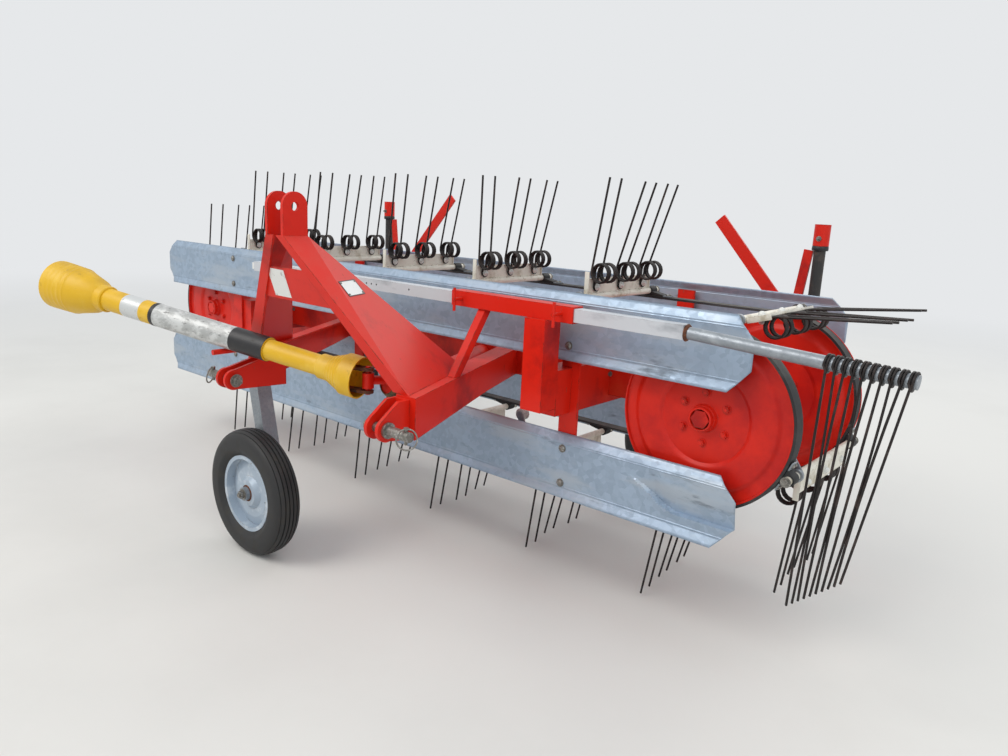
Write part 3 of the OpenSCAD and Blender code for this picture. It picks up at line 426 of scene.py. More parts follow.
def finish_material(name, base, layers=(), rough=0.5, metallic=0.0, bump=(), edge=None, dust=None, spangle=None,
                    bleach=None, shine=0.5):
    """A weathered surface. Each layer is a colour, a patch size in mm, the noise levels where it starts and is
    full, its roughness and, where it is uneven, how far it is stretched along X, Y and Z. Edge is a colour and a
    width in mm, dust a colour and its share on faces that look up, spangle a crystal size in mm and its share,
    and bump rows of size and height in mm. The painted highlight is a colour and the rack's X, in mm, up to which
    it lies over the rest, as painted light on a brightly lit part."""
    material = bpy.data.materials.new(name)
    material.use_nodes = True
    tree = material.node_tree
    shader = tree.nodes["Principled BSDF"]
    where = add_node(tree, "ShaderNodeTexCoord").outputs["Object"]
    normal = add_node(tree, "ShaderNodeNewGeometry").outputs["Normal"]
    base = linear(base)
    look = {"Base Color": (*base, 1), "Roughness": rough, "Metallic": metallic, "Specular IOR Level": shine}

    def pattern(size, detail, stretch=(1, 1, 1), shift=0.0):
        moved = add_node(tree, "ShaderNodeMapping", None, {
            "Vector": where, "Location": (shift, shift * 1.7, -shift), "Scale": stretch})
        return add_node(tree, "ShaderNodeTexNoise", None, {
            "Vector": moved.outputs[0], "Scale": 1000 / size, "Detail": detail, "Roughness": 0.62}).outputs["Fac"]

    def cover(shares, code, **values):
        """Lays a colour and other values of the look over it. Each share is a socket, the levels where it starts
        and is full, and its top, and the shares are multiplied."""
        share = None
        for socket, low, high, top in shares:
            level = add_node(tree, "ShaderNodeMapRange", {"interpolation_type": "SMOOTHSTEP"}, {
                "Value": socket, "From Min": low, "From Max": high, "To Max": top}).outputs[0]
            share = level if share is None else add_node(tree, "ShaderNodeMath", {"operation": "MULTIPLY"}, {
                0: share, 1: level}).outputs[0]
        look["Base Color"] = add_node(tree, "ShaderNodeMix", {"data_type": "RGBA"}, {
            0: share, 6: look["Base Color"], 7: (*linear(code), 1)}).outputs[2]
        for key, value in values.items():
            look[key] = add_node(tree, "ShaderNodeMix", None, {0: share, 2: look[key], 3: value}).outputs[0]

    if spangle:
        size, top = spangle
        cells = add_node(tree, "ShaderNodeTexVoronoi", {"feature": "F1"}, {"Vector": where, "Scale": 1000 / size})
        grey = add_node(tree, "ShaderNodeSeparateColor", None, {0: cells.outputs["Color"]}).outputs
        cover([(grey[0], 0.0, 1.0, top)], [min(1, c * 1.6 + 0.05) for c in base])
        look["Roughness"] = add_node(tree, "ShaderNodeMix", None, {
            0: grey[1], 2: rough - 0.08, 3: rough + 0.1}).outputs[0]
    for k, (code, size, low, high, patch_rough, *stretch) in enumerate(layers):
        # Chalk, rust and mud on a metal aren't metallic
        bare = {"Metallic": 0.0} if metallic > 0.3 and patch_rough > 0.65 else {}
        patches = pattern(size, 8.0, *stretch, shift=3.1 * k + 0.7)
        cover([(patches, low, high, 1.0)], code, Roughness=patch_rough, **bare)
    # Painted highlight: a whiter colour over the part up to an X along the rack, standing for bright light on it
    if bleach:
        code, limit = bleach
        limit = (limit - ORIGIN.x) / 1000
        along = add_node(tree, "ShaderNodeSeparateXYZ", None, {0: where}).outputs["X"]
        cover([(along, limit + 0.004, limit, 1.0), (pattern(150, 8.0, (0.4, 1, 1), 7.7), 0.3, 0.5, 1.0)],
              code, Roughness=0.55, Metallic=0.1)
    if edge:
        code, width = edge
        # An edge is where the rounded normal leaves the real one
        rounded = add_node(tree, "ShaderNodeBevel", {"samples": 4}, {"Radius": width / 1000}).outputs[0]
        same = add_node(tree, "ShaderNodeVectorMath", {"operation": "DOT_PRODUCT"}, {0: rounded, 1: normal})
        cover([(same.outputs["Value"], 0.985, 0.86, 1.0), (pattern(45, 6.0, shift=9.3), 0.44, 0.6, 1.0)],
              code, Roughness=0.75)
    if dust:
        code, top = dust
        up = add_node(tree, "ShaderNodeSeparateXYZ", None, {0: normal}).outputs["Z"]
        cover([(up, 0.45, 0.95, top), (pattern(70, 8.0, shift=5.5), 0.32, 0.66, 1.0)], code, Roughness=0.85)
    for size, height in bump:
        relief = {"Height": pattern(size, 4.0, shift=1.3), "Strength": 0.6, "Distance": height / 1000}
        if "Normal" in look:
            relief["Normal"] = look["Normal"]
        look["Normal"] = add_node(tree, "ShaderNodeBump", None, relief).outputs[0]
    for socket, value in look.items():
        feed(tree, shader.inputs[socket], value)
    return material


def make_materials():
    c = bpy.context.scene.rake_finishes

    def make(key, *row, **more):
        MATERIALS[key] = finish_material(*row, **more)

    # Alkyd enamel on steel, brushed and scuffed: glossy where whole, pink where the sun chalked it, rust at edges
    make("red", "red_alkyd_enamel_brushed", c.red, [
        (c.red_faded, 420, 0.58, 0.78, 0.55), ("#9c1410", 260, 0.5, 0.7, 0.42),
        ("#8e4a3c", 14, 0.66, 0.74, 0.7, (1, 1, 0.35)), (c.rust, 22, 0.71, 0.76, 0.8)],
        0.4, bump=[(1.6, 0.12), (40, 0.25)], edge=("#4f2a1c", 5), dust=("#8d7a68", 0.14), shine=0.26)
    # The same enamel on the pressed sheaves, newer, polished by hay, with fine scratches
    make("sheave", "red_enamel_on_pressed_steel", c.red, [
        ("#b5140f", 220, 0.46, 0.7, 0.4), ("#8f2018", 9, 0.68, 0.78, 0.6, (1, 1, 0.3))],
        0.42, bump=[(2.4, 0.1), (90, 0.4)], edge=("#5d2c22", 2.5), shine=0.3)
    # Hot-dip galvanised sheet: large crystals that shine differently, chalky stains and dried mud
    make("sheet", "hot_dip_galvanised_sheet", c.zinc, [
        ("#a9b4bf", 160, 0.48, 0.66, 0.42, (0.35, 1, 1.4)), ("#6f7983", 90, 0.6, 0.76, 0.5, (0.5, 1, 2)),
        ("#77706a", 30, 0.7, 0.8, 0.8, (0.3, 1, 1))], 0.46, 0.5, bump=[(260, 0.9), (9, 0.05)], spangle=(17, 0.24))
    # Galvanised tube and forged brackets: duller, finer crystals, rust where it is scraped
    make("zinc", "galvanised_tube", c.zinc_dull, [
        ("#a7adb2", 60, 0.5, 0.7, 0.45), ("#6d675f", 28, 0.62, 0.76, 0.75), (c.rust, 12, 0.72, 0.78, 0.85)],
        0.46, 0.6, bump=[(4, 0.1)], edge=("#5f4636", 1.5), spangle=(6, 0.14))
    # The slide bar: galvanised square tube, painted lighter and whiter up to its welded round end as a painted
    # highlight where the square tube is brightly lit
    make("slide_bar", "galvanised_slide_bar", c.zinc_dull, [
        ("#a7adb2", 60, 0.5, 0.7, 0.45), ("#6d675f", 28, 0.66, 0.78, 0.75)],
        0.44, 0.6, bump=[(4, 0.1)], edge=("#6b5646", 1.5), spangle=(7, 0.14), bleach=("#c3c6ca", 3050))
    # Zinc-plated fasteners, bright on the tine bolts and tarnished elsewhere
    make("bright", "bright_zinc_plated_head", "#dcdcd7", [
        ("#a9a7a0", 9, 0.6, 0.76, 0.5), ("#6a5444", 5, 0.72, 0.8, 0.8)], 0.3, 0.1, bump=[(1.2, 0.04)])
    make("bolt", "zinc_plated_bolt_steel", "#83807a", [
        ("#b5b3ad", 9, 0.5, 0.7, 0.35), ("#5a4436", 6, 0.58, 0.72, 0.8)], 0.42, 0.75, bump=[(1.2, 0.06)])
    # Cream enamel on the tine bars, stained by crop juice, rust at plate edges
    make("cream", "cream_enamel", c.cream, [
        ("#b7ad96", 70, 0.52, 0.72, 0.55), ("#7d6a52", 18, 0.64, 0.74, 0.75), (c.rust, 9, 0.7, 0.75, 0.85)],
        0.42, bump=[(2, 0.08)], edge=("#6e4a34", 1.6), dust=("#9a8f7c", 0.25))
    # Oil-tempered spring wire, black-brown with a rust bloom
    make("wire", "oil_tempered_spring_wire", c.wire, [
        ("#372a25", 60, 0.5, 0.68, 0.68), ("#503628", 14, 0.64, 0.76, 0.8)], 0.44, 0.4, bump=[(1.5, 0.08)])
    # Rubber and canvas belt: matt black, grey with field dust, streaked along its run
    make("belt", "rubber_canvas_belt", c.belt, [
        ("#4b4a48", 120, 0.46, 0.66, 0.85, (0.2, 1, 1)), ("#6a665f", 30, 0.62, 0.78, 0.9, (0.3, 1, 1))],
        0.7, bump=[(2.2, 0.15)], dust=("#6a655c", 0.5))
    make("rubber", "moulded_rubber", "#1c1c1d", [
        ("#3b3733", 25, 0.52, 0.7, 0.85)], 0.62, bump=[(2, 0.1)])
    # Rotationally moulded polyethylene guard, chalked and dirty
    make("guard", "moulded_polyethylene_yellow", c.yellow, [
        ("#e0b73c", 120, 0.48, 0.68, 0.5), ("#8b6a1c", 60, 0.6, 0.76, 0.7), ("#5a4526", 16, 0.68, 0.77, 0.85)],
        0.44, bump=[(3, 0.12)], dust=("#6c5730", 0.3))
    make("guard_dirty", "greasy_polyethylene", "#6a5227", [
        ("#3f3322", 40, 0.46, 0.62, 0.8), ("#94752c", 30, 0.62, 0.75, 0.6)], 0.6, bump=[(3, 0.25)])
    # What is left of a paper sleeve on the guard, and blank foil
    make("worn_sleeve", "worn_silver_sleeve", "#a9aaa8", [
        ("#c9cac8", 26, 0.44, 0.6, 0.5, (0.5, 1, 1)), ("#7d7c7a", 9, 0.56, 0.7, 0.7, (0.4, 0.8, 1.6)),
        ("#55524e", 4, 0.66, 0.76, 0.7, (0.4, 1, 1))],
        0.46, 0.3, bump=[(7, 0.5)])
    make("foil", "blank_silver_foil", "#c9cbca", [
        ("#8e8f8c", 12, 0.6, 0.72, 0.6)], 0.36, 0.35, bump=[(8, 0.1)])
    make("blank", "blank_white_vinyl", "#dcdcd8", [
        ("#aaa79f", 18, 0.58, 0.72, 0.6)], 0.4, bump=[(10, 0.05)])
    make("black", "black_polyethylene", "#1f1f21", [
        ("#3c3a37", 20, 0.56, 0.72, 0.7)], 0.45, bump=[(3, 0.1)])
    make("pipe", "dull_black_enamel_pipe", "#262423", [
        ("#453c36", 50, 0.5, 0.68, 0.7), (c.rust, 16, 0.66, 0.74, 0.85)], 0.5, bump=[(2, 0.1)])
    # Natural rubber tyre, greyed by weather, mud in its grooves
    make("tyre", "weathered_tyre_rubber", c.tyre, [
        ("#34322f", 60, 0.48, 0.68, 0.8), ("#4d4438", 12, 0.66, 0.76, 0.92)], 0.58, bump=[(2.5, 0.12)])
    # Stoved enamel rim, chalky blue-grey, rust at the hub's welds
    make("rim", "stoved_enamel_rim", c.rim, [
        ("#c4ccd3", 50, 0.5, 0.68, 0.5), ("#7c7266", 16, 0.66, 0.75, 0.75)], 0.42, 0.15,
        bump=[(3, 0.08)], edge=("#6f4a34", 2))
    make("rust", "rusted_mild_steel", "#5b3624", [
        ("#7d4a2a", 14, 0.48, 0.62, 0.85), ("#37261e", 22, 0.56, 0.7, 0.75)], 0.8, 0.15, bump=[(2, 0.3)])
    # White enamel with chips, on the follower rollers
    make("white", "white_enamel_chipped", "#d3d3ce", [
        ("#9a9790", 22, 0.56, 0.7, 0.55), ("#77695a", 8, 0.68, 0.74, 0.8)], 0.4, bump=[(4, 0.06)])


NODE_FINISH = {
    "red": ["main_beam", "cross_arm_left", "cross_arm_right", "draft_beam_right", "draft_arm_left", "mast_leg_right",
            "mast_leg_left", "mast_web", "hitch_foot_right", "hitch_foot_left", "sheet_posts", "deflector_sleeve",
            "rear_rail", "rear_mast_caps", "gearbox", "shaft_rest", "sleeve_clamps", "sheave_shafts"],
    "sheave": ["sheave_front_left", "sheave_front_right", "sheave_rear_left", "sheave_rear_right"],
    "bolt": ["lower_pin_right", "lower_pin_left"],
    "belt": ["belt_front_runs", "belt_front_bends", "belt_rear_runs", "belt_rear_bends"],
    "slide_bar": ["deflector_bar"],
    "zinc": ["wheel_leg_front", "castor_left", "castor_right", "follower_levers"],
    "pipe": ["rear_masts"],
    "rim": ["rim_front", "rim_left", "rim_right"],
    "cream": ["tine_bars_top", "tine_bars_right_end", "tine_bars_bottom", "tine_bar_left_end"],
    "sheet": ["sheet_front_upper", "sheet_front_lower", "sheet_rear_upper", "sheet_rear_lower"],
    "wire": ["deflector_tines"],
    "guard": ["shaft_inner_half", "shaft_outer_half", "outer_cone"],
    "tyre": ["tyre_front", "tyre_left", "tyre_right"],
}


# Tine bars

TOP_LEANS = [[8, 10, 12], [9, 12, 10], [7, 11, 13], [1, 10, 13], [9, 17, 17]]
LOW_LEANS = [[9, 12, 14], [8, 13, 12], [10, 9, 14], [8, 12, 15], [11, 10, 13], [9, 13, 10]]
COIL_YS = [195, 345, 495]
COIL_REACH, COIL_SIDE, WIRE_GAP, BOLT_UP = 80, 38, 63, 36


def bar_place(s):
    """A bar's x, height over the axes and turn of its seat, at an arc length along the belt."""
    span, half = RIGHT_X - LEFT_X, math.pi * LOOP_R
    if s < span:
        return LEFT_X + s, ROD_OUT, 0.0
    if s < span + half:
        x, turn = RIGHT_X, (s - span) / LOOP_R
    elif s < 2 * span + half:
        return RIGHT_X - (s - span - half), -ROD_OUT, math.pi
    else:
        x, turn = LEFT_X, math.pi + (s - 2 * span - half) / LOOP_R
    return x + ROD_OUT * math.sin(turn), ROD_OUT * math.cos(turn), turn


def all_bars():
    """Rows of rod frame, seat frame, the rod's place before its seats, and the leans of the bar's tines."""
    rows = [(BAR_START + k * BAR_PITCH, 0, -COIL_SIDE, TOP_LEANS[k]) for k in range(5)]
    rows += [(BAR_START + 5 * BAR_PITCH + 9, 74, 0, [12, 13, 10]), (BAR_START + 6 * BAR_PITCH, 180, 0, [6, 9, 8])]
    rows += [(BAR_START + k * BAR_PITCH, 180, -COIL_SIDE, LOW_LEANS[k - 7]) for k in range(7, 13)]
    rows += [(BAR_START + 13 * BAR_PITCH, 0, 0, [9, 11, 12])]
    made = []
    for s, turn, ahead, leans in rows:
        x, rise, seat = bar_place(s)
        rod = at(x + ahead * math.cos(seat), 0, AXIS_Z + rise, turn)
        made.append((rod, at(x, 0, AXIS_Z + rise, math.degrees(seat)), ahead, leans))
    return made


def tine_path(rod, y, side, lean, sizes):
    """Half of a double tine: from its tip down to the coil, round the coil, down its strand and to the bolt."""
    r, wire = sizes.coil_radius * 1000, sizes.wire_radius * 1000
    pitch = 2 * wire
    tip = sizes.tine_length * 1000
    lean = math.radians(lean)
    centre = Vector((COIL_SIDE, 0, COIL_REACH))

    def around(angle, out):
        return centre + Vector((-r * math.cos(angle), y + side * out, r * math.sin(angle)))

    outer = WIRE_GAP / 2
    way = Vector((math.sin(lean), 0, math.cos(lean)))
    start = around(lean, outer)
    points = [start + way * (tip * k / 4) for k in range(4, 0, -1)]
    total = 2 * math.pi * sizes.turns + lean
    steps = 18 * sizes.turns
    for k in range(steps + 1):
        a = lean - total * k / steps
        points.append(around(a, outer - pitch * sizes.turns * k / steps))
    inner = outer - pitch * sizes.turns
    strand = COIL_SIDE - r
    foot = BOLT_UP - 12
    points.append(Vector((strand, y + side * inner, foot + 14)))
    bend = min(12, inner - 1)
    points += [Vector((strand, y + side * across, 2 * foot + bend - down))
               for across, down in arc(bend, (20, 45, 70), inner - bend, foot)]
    points.append(Vector((strand, y + side * 0.01, foot)))
    return [place(*(rod @ p)) for p in points]


def build_tine_wires():
    sizes = bpy.context.scene.rake_tines
    paths = []
    for rod, seat, ahead, leans in all_bars():
        for y, lean in zip(COIL_YS, leans):
            paths += [tine_path(rod, y, side, lean + side * 0.4, sizes) for side in (-1, 1)]
    obj = wires("tine_springs", paths, sizes.wire_radius, "rake", "wire")
    return obj


def build_bar_frames():
    bm = bmesh.new()
    for rod, seat, ahead, leans in all_bars():
        along_y = rod @ at(0, 30, 0, -90, "X")
        add_turned(bm, [(9, 0), (11, 0), (12, 1), (12, 584), (11, 585), (9, 585)], along_y, 20)
        add_block(bm, (-3, 145, 11), (4, 545, 60), rod)
        add_block(bm, (-3, 141, 11), (14, 145, 84), rod)
        add_block(bm, (-3, 545, 11), (9, 549, 60), rod)
        # Weld beads where the plate stands on the tube
        for y in range(160, 540, 42):
            add_block(bm, (4, y, 9), (8, y + 16, 13), rod)
    return finish_piece("bar_tubes_and_plates", bm, "rake", "cream", 0.8)


def build_bar_seats():
    rubber, steel = bmesh.new(), bmesh.new()
    rivets = []
    foot = 0.3 - ROD_OUT + 273.3
    for rod, seat, ahead, leans in all_bars():
        left, right = min(0, ahead) - 24, max(0, ahead) + 24
        outline = [(left, foot + 5), (left, foot), (right, foot)]
        outline += [(right, foot + 6), (10, foot + 9)] if ahead else [(right, foot + 5)]
        outline += arc(17, range(-10, 191, 20), ahead)
        for y in (BELT_Y, REAR_BELT_Y):
            add_prism(rubber, outline, y + 3, y + 42, seat)
            add_block(steel, (-48, y + 5, foot + 0.2), (48, y + 40, foot + 4.5), seat)
            rivets += [(seat @ Vector((dx, y + dy, foot + 4.5)), seat.to_3x3() @ Z_AXIS)
                       for dx in (-38, 38) for dy in (14, 31)]
    pieces = [finish_piece("bar_seats", rubber, "rake", "rubber", 0.8),
              finish_piece("bar_clamps", steel, "rake", "zinc", 0.5),
              domes("bar_rivets", rivets, 0.0055, 0.0035, "rake", "bolt")]
    return pieces


def build_bar_bolts():
    heads, dirt_and_shadow_washers, ends = [], [], []
    for rod, seat, ahead, leans in all_bars():
        turn = rod.to_3x3()
        for y in COIL_YS:
            # A near-black washer wider than each bolt head: a dark ring of dirt and painted contact shadow round the
            # tine bolt
            dirt_and_shadow_washers.append((rod @ Vector((10.5, y, BOLT_UP - 3)), turn @ X_AXIS))
            heads += [(rod @ Vector((12.2, y, BOLT_UP - 3)), turn @ X_AXIS),
                      (rod @ Vector((-3.5, y, BOLT_UP)), turn @ -X_AXIS)]
        ends += [(rod @ Vector((0, 30, 0)), -Y_AXIS), (rod @ Vector((0, 615, 0)), Y_AXIS)]
    return [domes("tine_bolts", heads, 0.0104, 0.0105, "rake", "bright"),
            domes("tine_washers_dirt_and_shadow", dirt_and_shadow_washers, 0.0136, 0.0015, "rake", "wire"),
            bolts("bar_end_bolts", ends, "rake", "bolt", 1.15, 0.003)]


def build_levers():
    plates, rollers, pins = bmesh.new(), bmesh.new(), []
    for rod, seat, ahead, leans in all_bars():
        lever = rod @ spin(149, "Y")
        outline = arc(17, range(180, 361, 20)) + [(13, 60), (12, 150)]
        outline += arc(12, range(10, 171, 20), 0, 152) + [(-12, 150), (-13, 60)]
        add_prism(plates, outline, 118, 124, lever)
        add_turned(plates, [(12.5, 0), (19, 0), (19, 12), (12.5, 12)], lever @ at(0, 106.3, 0, -90, "X"), 20)
        add_turned(rollers, [(7, 0), (20, 0), (22, 2), (22, 10), (19, 12), (19, 16), (22, 18), (22, 26), (20, 28),
                             (7, 28)], lever @ at(0, 124.3, 152, -90, "X"), 24)
        pins.append((lever @ Vector((0, 152.3, 152)), Y_AXIS))
    return [finish_piece("follower_levers", plates, "rake", "zinc", 0.6),
            finish_piece("follower_rollers", rollers, "rake", "white"),
            bolts("follower_bolts", pins, "rake", "bolt", 0.9, 0.002)]


# Deflector


def build_deflector_wires():
    """Long wires that hang from coils round the end tube, each a little longer and more bowed than the next."""
    root, tip = END_TUBE_ROOT, END_TUBE_TIP
    along = (tip - root).normalized()
    side = Vector((0, -1, 0))
    up = side.cross(along)
    # The tube's radius, a gap and half of the wire
    ring = 17.5 + 0.3 + 4
    paths = []
    for k in range(10):
        p = root + (1 - (10 + (9 - k) * 21) / 610) * (tip - root)
        top = p + side * ring
        end = top + Vector((-8 * k - 20, 10 + 2 * k, 12 * k - 640))
        bow = 6 * math.sin(k * 2.1)
        points = [end + (top - end) * t + Vector((bow, 0.4 * bow, 0)) * math.sin(math.pi * t)
                  for t in (0, 0.2, 0.4, 0.6, 0.8)]
        points += [top + (end - top).normalized() * 14]
        for j in range(22):
            a = math.radians(-6 + 24 * j)
            round_tube = (side * math.cos(a) + up * math.sin(a)) * ring
            points.append(p + round_tube + along * (7.4 * 24 * (j - 21) / 360 + 4))
        paths.append([place(*q) for q in points])
    return wires("deflector_wires", paths, 0.0034, "deflector", "wire")


def build_deflector_weld():
    """The weld where the round end tube leaves the square bar, and dark marks punched in the bar's face."""
    weld, marks = bmesh.new(), bmesh.new()
    add_turned(weld, [(17.7, 30), (23.5, 30.2), (24.5, 32), (22.5, 35), (19.5, 38), (17.7, 39)],
               towards(END_TUBE_ROOT, (END_TUBE_TIP - END_TUBE_ROOT).normalized()), 28)
    for x in (1712, 1740, 1768, 1796, 1972):
        add_turned(marks, [(0, 0), (3.6, 0), (3.2, 0.15), (0, 0.15)], at(x, -120.02, 959, 90, "X"), 14)
    finish_piece("end_tube_weld", weld, "deflector", "rust")
    finish_piece("slide_marks", marks, "deflector", "black")


# Sheets


def sheet_face(z):
    """How far back the sheet's outer face lies at a height over its lower edge."""
    top = SHEET_H
    line = [(-14, 0), (0, 26), (0, 30), (-1.3, 32.5), (0, 35), (0, top * 0.46), (0.6, top * 0.5), (0, top * 0.54),
            (0, top - 35), (-1.3, top - 32.5), (0, top - 30), (0, top - 26), (14, top)]
    for (a, za), (b, zb) in zip(line, line[1:]):
        if z <= zb + 1e-6:
            return a + (b - a) * (z - za) / (zb - za)
    return line[-1][0]


def dent_depth(x, z):
    """How far a dented end is pushed in: a fold falls towards the lower edge, and the metal above it gives way."""
    t = min(1.0, max(0.0, (x - DENT_X) / 190))
    fold = 142 - 78 * t * t * (3 - 2 * t)
    depth = 15 * min(1.0, max(0.0, (x - DENT_X) / 110)) ** 1.5
    if z > fold:
        return depth * max(0.0, 1 - (z - fold) / 75) ** 1.4
    return -0.22 * depth * max(0.0, 1 - (fold - z) / 28)


def build_sheet(name, node, face_y, low_z, way, dent=False):
    """A folded sheet as a fine grid with bevelled corners, a shallow wave, and a dented end on one of them."""
    bm = bmesh.new()
    ends = [BEVEL_LEN * k / 6 for k in range(7)]
    xs = {*ends, *(SHEET_LEN - x for x in ends),
          *(BEVEL_LEN + (SHEET_LEN - 2 * BEVEL_LEN) * k / 130 for k in range(131))}
    heights = {0, 8, 17, 26, 30, 32.5, 35, 45, 62, 82, 132, 150, 165, 197, 206, SHEET_H,
               *(SHEET_H * share for share in (0.46, 0.5, 0.54)), *(SHEET_H - h for h in (26, 30, 32.5, 35))}
    if dent:
        xs = {x for x in xs if x < DENT_X or x > SHEET_LEN - 59} | {DENT_X + 7 * k for k in range(46)}
        heights = {h for h in heights if h < 46 or h > 164} | {46 + 5 * k for k in range(24)}
    heights = sorted(heights)
    grid = []
    for x in sorted(xs):
        inset = max(0.0, 1 - min(x, SHEET_LEN - x) / BEVEL_LEN) * BEVEL_H
        column = []
        for h in heights:
            z = min(max(h, inset), SHEET_H - inset)
            wave = 1.1 * (noise.noise(Vector((x / 420, z / 300, low_z / 97 + way))) + 0.3)
            y = sheet_face(z) + max(0.0, wave) * math.sin(math.pi * z / SHEET_H)
            if dent:
                y += dent_depth(x, z)
            column.append(bm.verts.new(place(x, face_y + way * y, low_z + z)))
        grid.append(column)
    for a, b in zip(grid, grid[1:]):
        for k in range(len(heights) - 1):
            corners = [a[k], b[k], b[k + 1], a[k + 1]]
            if len({tuple(round(c, 6) for c in v.co) for v in corners}) > 2:
                bm.faces.new(corners if way > 0 else corners[::-1])
    bmesh.ops.remove_doubles(bm, verts=bm.verts, dist=1e-5)
    obj = ride_mesh(name, bm, "rake", "sheet", 20)
    wall = obj.modifiers.new("wall", "SOLIDIFY")
    wall.thickness, wall.offset = 0.0028, -1
    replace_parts(obj, node)


def build_sheet_bolts():
    spots = []
    for x in POST_XS:
        for z in (low + h for low in (LOWER_SHEET_Z, UPPER_SHEET_Z) for h in (45, SHEET_H - 50)):
            spots += [((x, -0.6, z), -Y_AXIS), ((x, RACK_DEPTH + 0.6, z), Y_AXIS)]
    domes("sheet_bolts", spots, 0.011, 0.0055, "rake", "bolt")


# Sheaves and frame


def build_sheaves():
    """Pressed sheaves: a dished middle, a raised ring, a set-back edge, the rim under the belt and an open hub."""
    r = SHEAVE_R
    # Columns: radius, depth behind the rim's front edge
    face = [(39, 9), (128, 9), (132, 10.2), (136, 10.4), (140, 8), (144, 4.6), (148, 3.2), (154, 3), (212, 3),
            (217, 3.4), (222, 6), (227, 10.4), (231, 12), (236, 12.4), (241, 12), (257, 12)]
    hub = [(17.4, 0), (22, -1.5), (25, -6), (27, -7), (36, -7), (38.5, -5), (39.5, 2), (42, 8), (44, 9.2),
           (44, 44.8), (17.4, 44.8)]
    for side, x in (("left", LEFT_X), ("right", RIGHT_X)):
        for row, y in (("front", BELT_Y), ("rear", REAR_BELT_Y)):
            bm = bmesh.new()
            where = at(x, y, AXIS_Z, -90, "X")
            wall = face + [(260.2, 11), (260.6, 4), (261, 0.6), (262, 0), (264.4, 0), (r, 0.6), (r, 44.5),
                           (r - 4.8, 44.5)]
            if row == "rear":
                wall[-2:] = [(r, 45.2), (r + 9, 45.4), (r + 10, 46.5), (r + 10, 49), (r + 9, 49.8), (r - 4.8, 49.8)]
            back = [(r - 4.8, 17.2)] + [(q, d + 5) for q, d in reversed(face)]
            add_turned(bm, wall + back, where, 96)
            add_turned(bm, hub, where, 40)
            obj = finish_piece("sheave_%s_%s_pressed" % (row, side), bm, "rake", "sheave", smooth=32)
            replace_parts(obj, "sheave_%s_%s" % (row, side))


def build_sheave_bolts():
    """Bolts on each sheave's middle, and a collar, open in front, round each front shaft's nut."""
    spots = [((px, y + 9, pz), -Y_AXIS) for x in (LEFT_X, RIGHT_X) for y in (BELT_Y, REAR_BELT_Y)
             for px, pz in arc(76, range(30, 331, 60), x, AXIS_Z)]
    collars = bmesh.new()
    for x in (LEFT_X, RIGHT_X):
        add_turned(collars, [(29.8, 0), (36, 0), (37, 3), (36, 18), (34, 20), (31, 20), (29.8, 17)],
                   at(x, BELT_Y - 3.5, AXIS_Z, 90, "X"), 40)
    finish_piece("shaft_end_collars", collars, "rake", "sheave")
    bolts("sheave_bolts", spots, "rake", "sheave", 1.1, 0.002)


def build_frame_bolts():
    spots = [((px, y, pz), (0, way, 0)) for x in (LEFT_X, RIGHT_X) for y, way in ((102, -1), (543, 1))
             for px, pz in arc(49, range(45, 316, 90), x, AXIS_Z)]
    spots += [((x, 246.6, 715), -Y_AXIS) for x in (580, 630, 700, 745, 2520, 2560, 2600)]
    bolts("frame_bolts", spots, "rake", "bolt", 0.8)


# Hitch


def build_hitch_details():
    """Lynch pins with their rings at the hitch pins' ends, and the nuts on their inner ends."""
    rings, nuts, pins = [], [], bmesh.new()
    for side in (1, -1):
        x = HITCH_X + side * FOOT_REACH
        hole = Vector((x + side * 74, HITCH_Y, HITCH_Z))
        add_turned(pins, [(0, -24), (3.5, -24), (4.8, -21), (4.8, 22), (0, 22)], towards(hole, Z_AXIS), 16)
        add_turned(pins, [(0, 0), (7, 0), (7, 6), (0, 6)], towards(hole + Vector((0, 0, 18)), Z_AXIS), 16)
        # The spring ring hangs from the pin's head and closes round the hitch pin's end
        ring = towards(hole + Vector((side * 9, -5, -6)), (side * 0.8, -0.55, 0.22))
        rings.append([place(*(ring @ Vector((u, v, 0)))) for u, v in arc(28, range(0, 361, 12))])
        nuts.append(((x - side * 70.4, HITCH_Y, HITCH_Z), (-side, 0, 0)))
    finish_piece("lynch_pins", pins, "rake", "bolt")
    wires("lynch_rings", rings, 0.0026, "rake", "bolt", 6)
    bolts("pin_nuts", nuts, "rake", "bolt", 1.7, 0.006)


# Drive shaft


def shaft_frame(t):
    return towards(JOINT + SHAFT_WAY * t, SHAFT_WAY)


def yoke(bm, where, reach, spread, width):
    """A forked joint half: hub, two arms and their eyes, opening along local +Z."""
    add_turned(bm, [(0, 0), (spread * 0.75, 0), (spread * 0.8, 4), (spread * 0.8, 22), (spread * 0.6, 28), (0, 28)],
               where, 24)
    half = width / 2
    outline = [(-half, 14), (half, 14), (half, reach - 4)]
    outline += arc(half, range(0, 181, 20), 0, reach) + [(-half, reach - 4)]
    for x in (5 - spread, spread - 5):
        add_prism(bm, outline, x - 5, x + 5, where @ spin(90, "Z"))


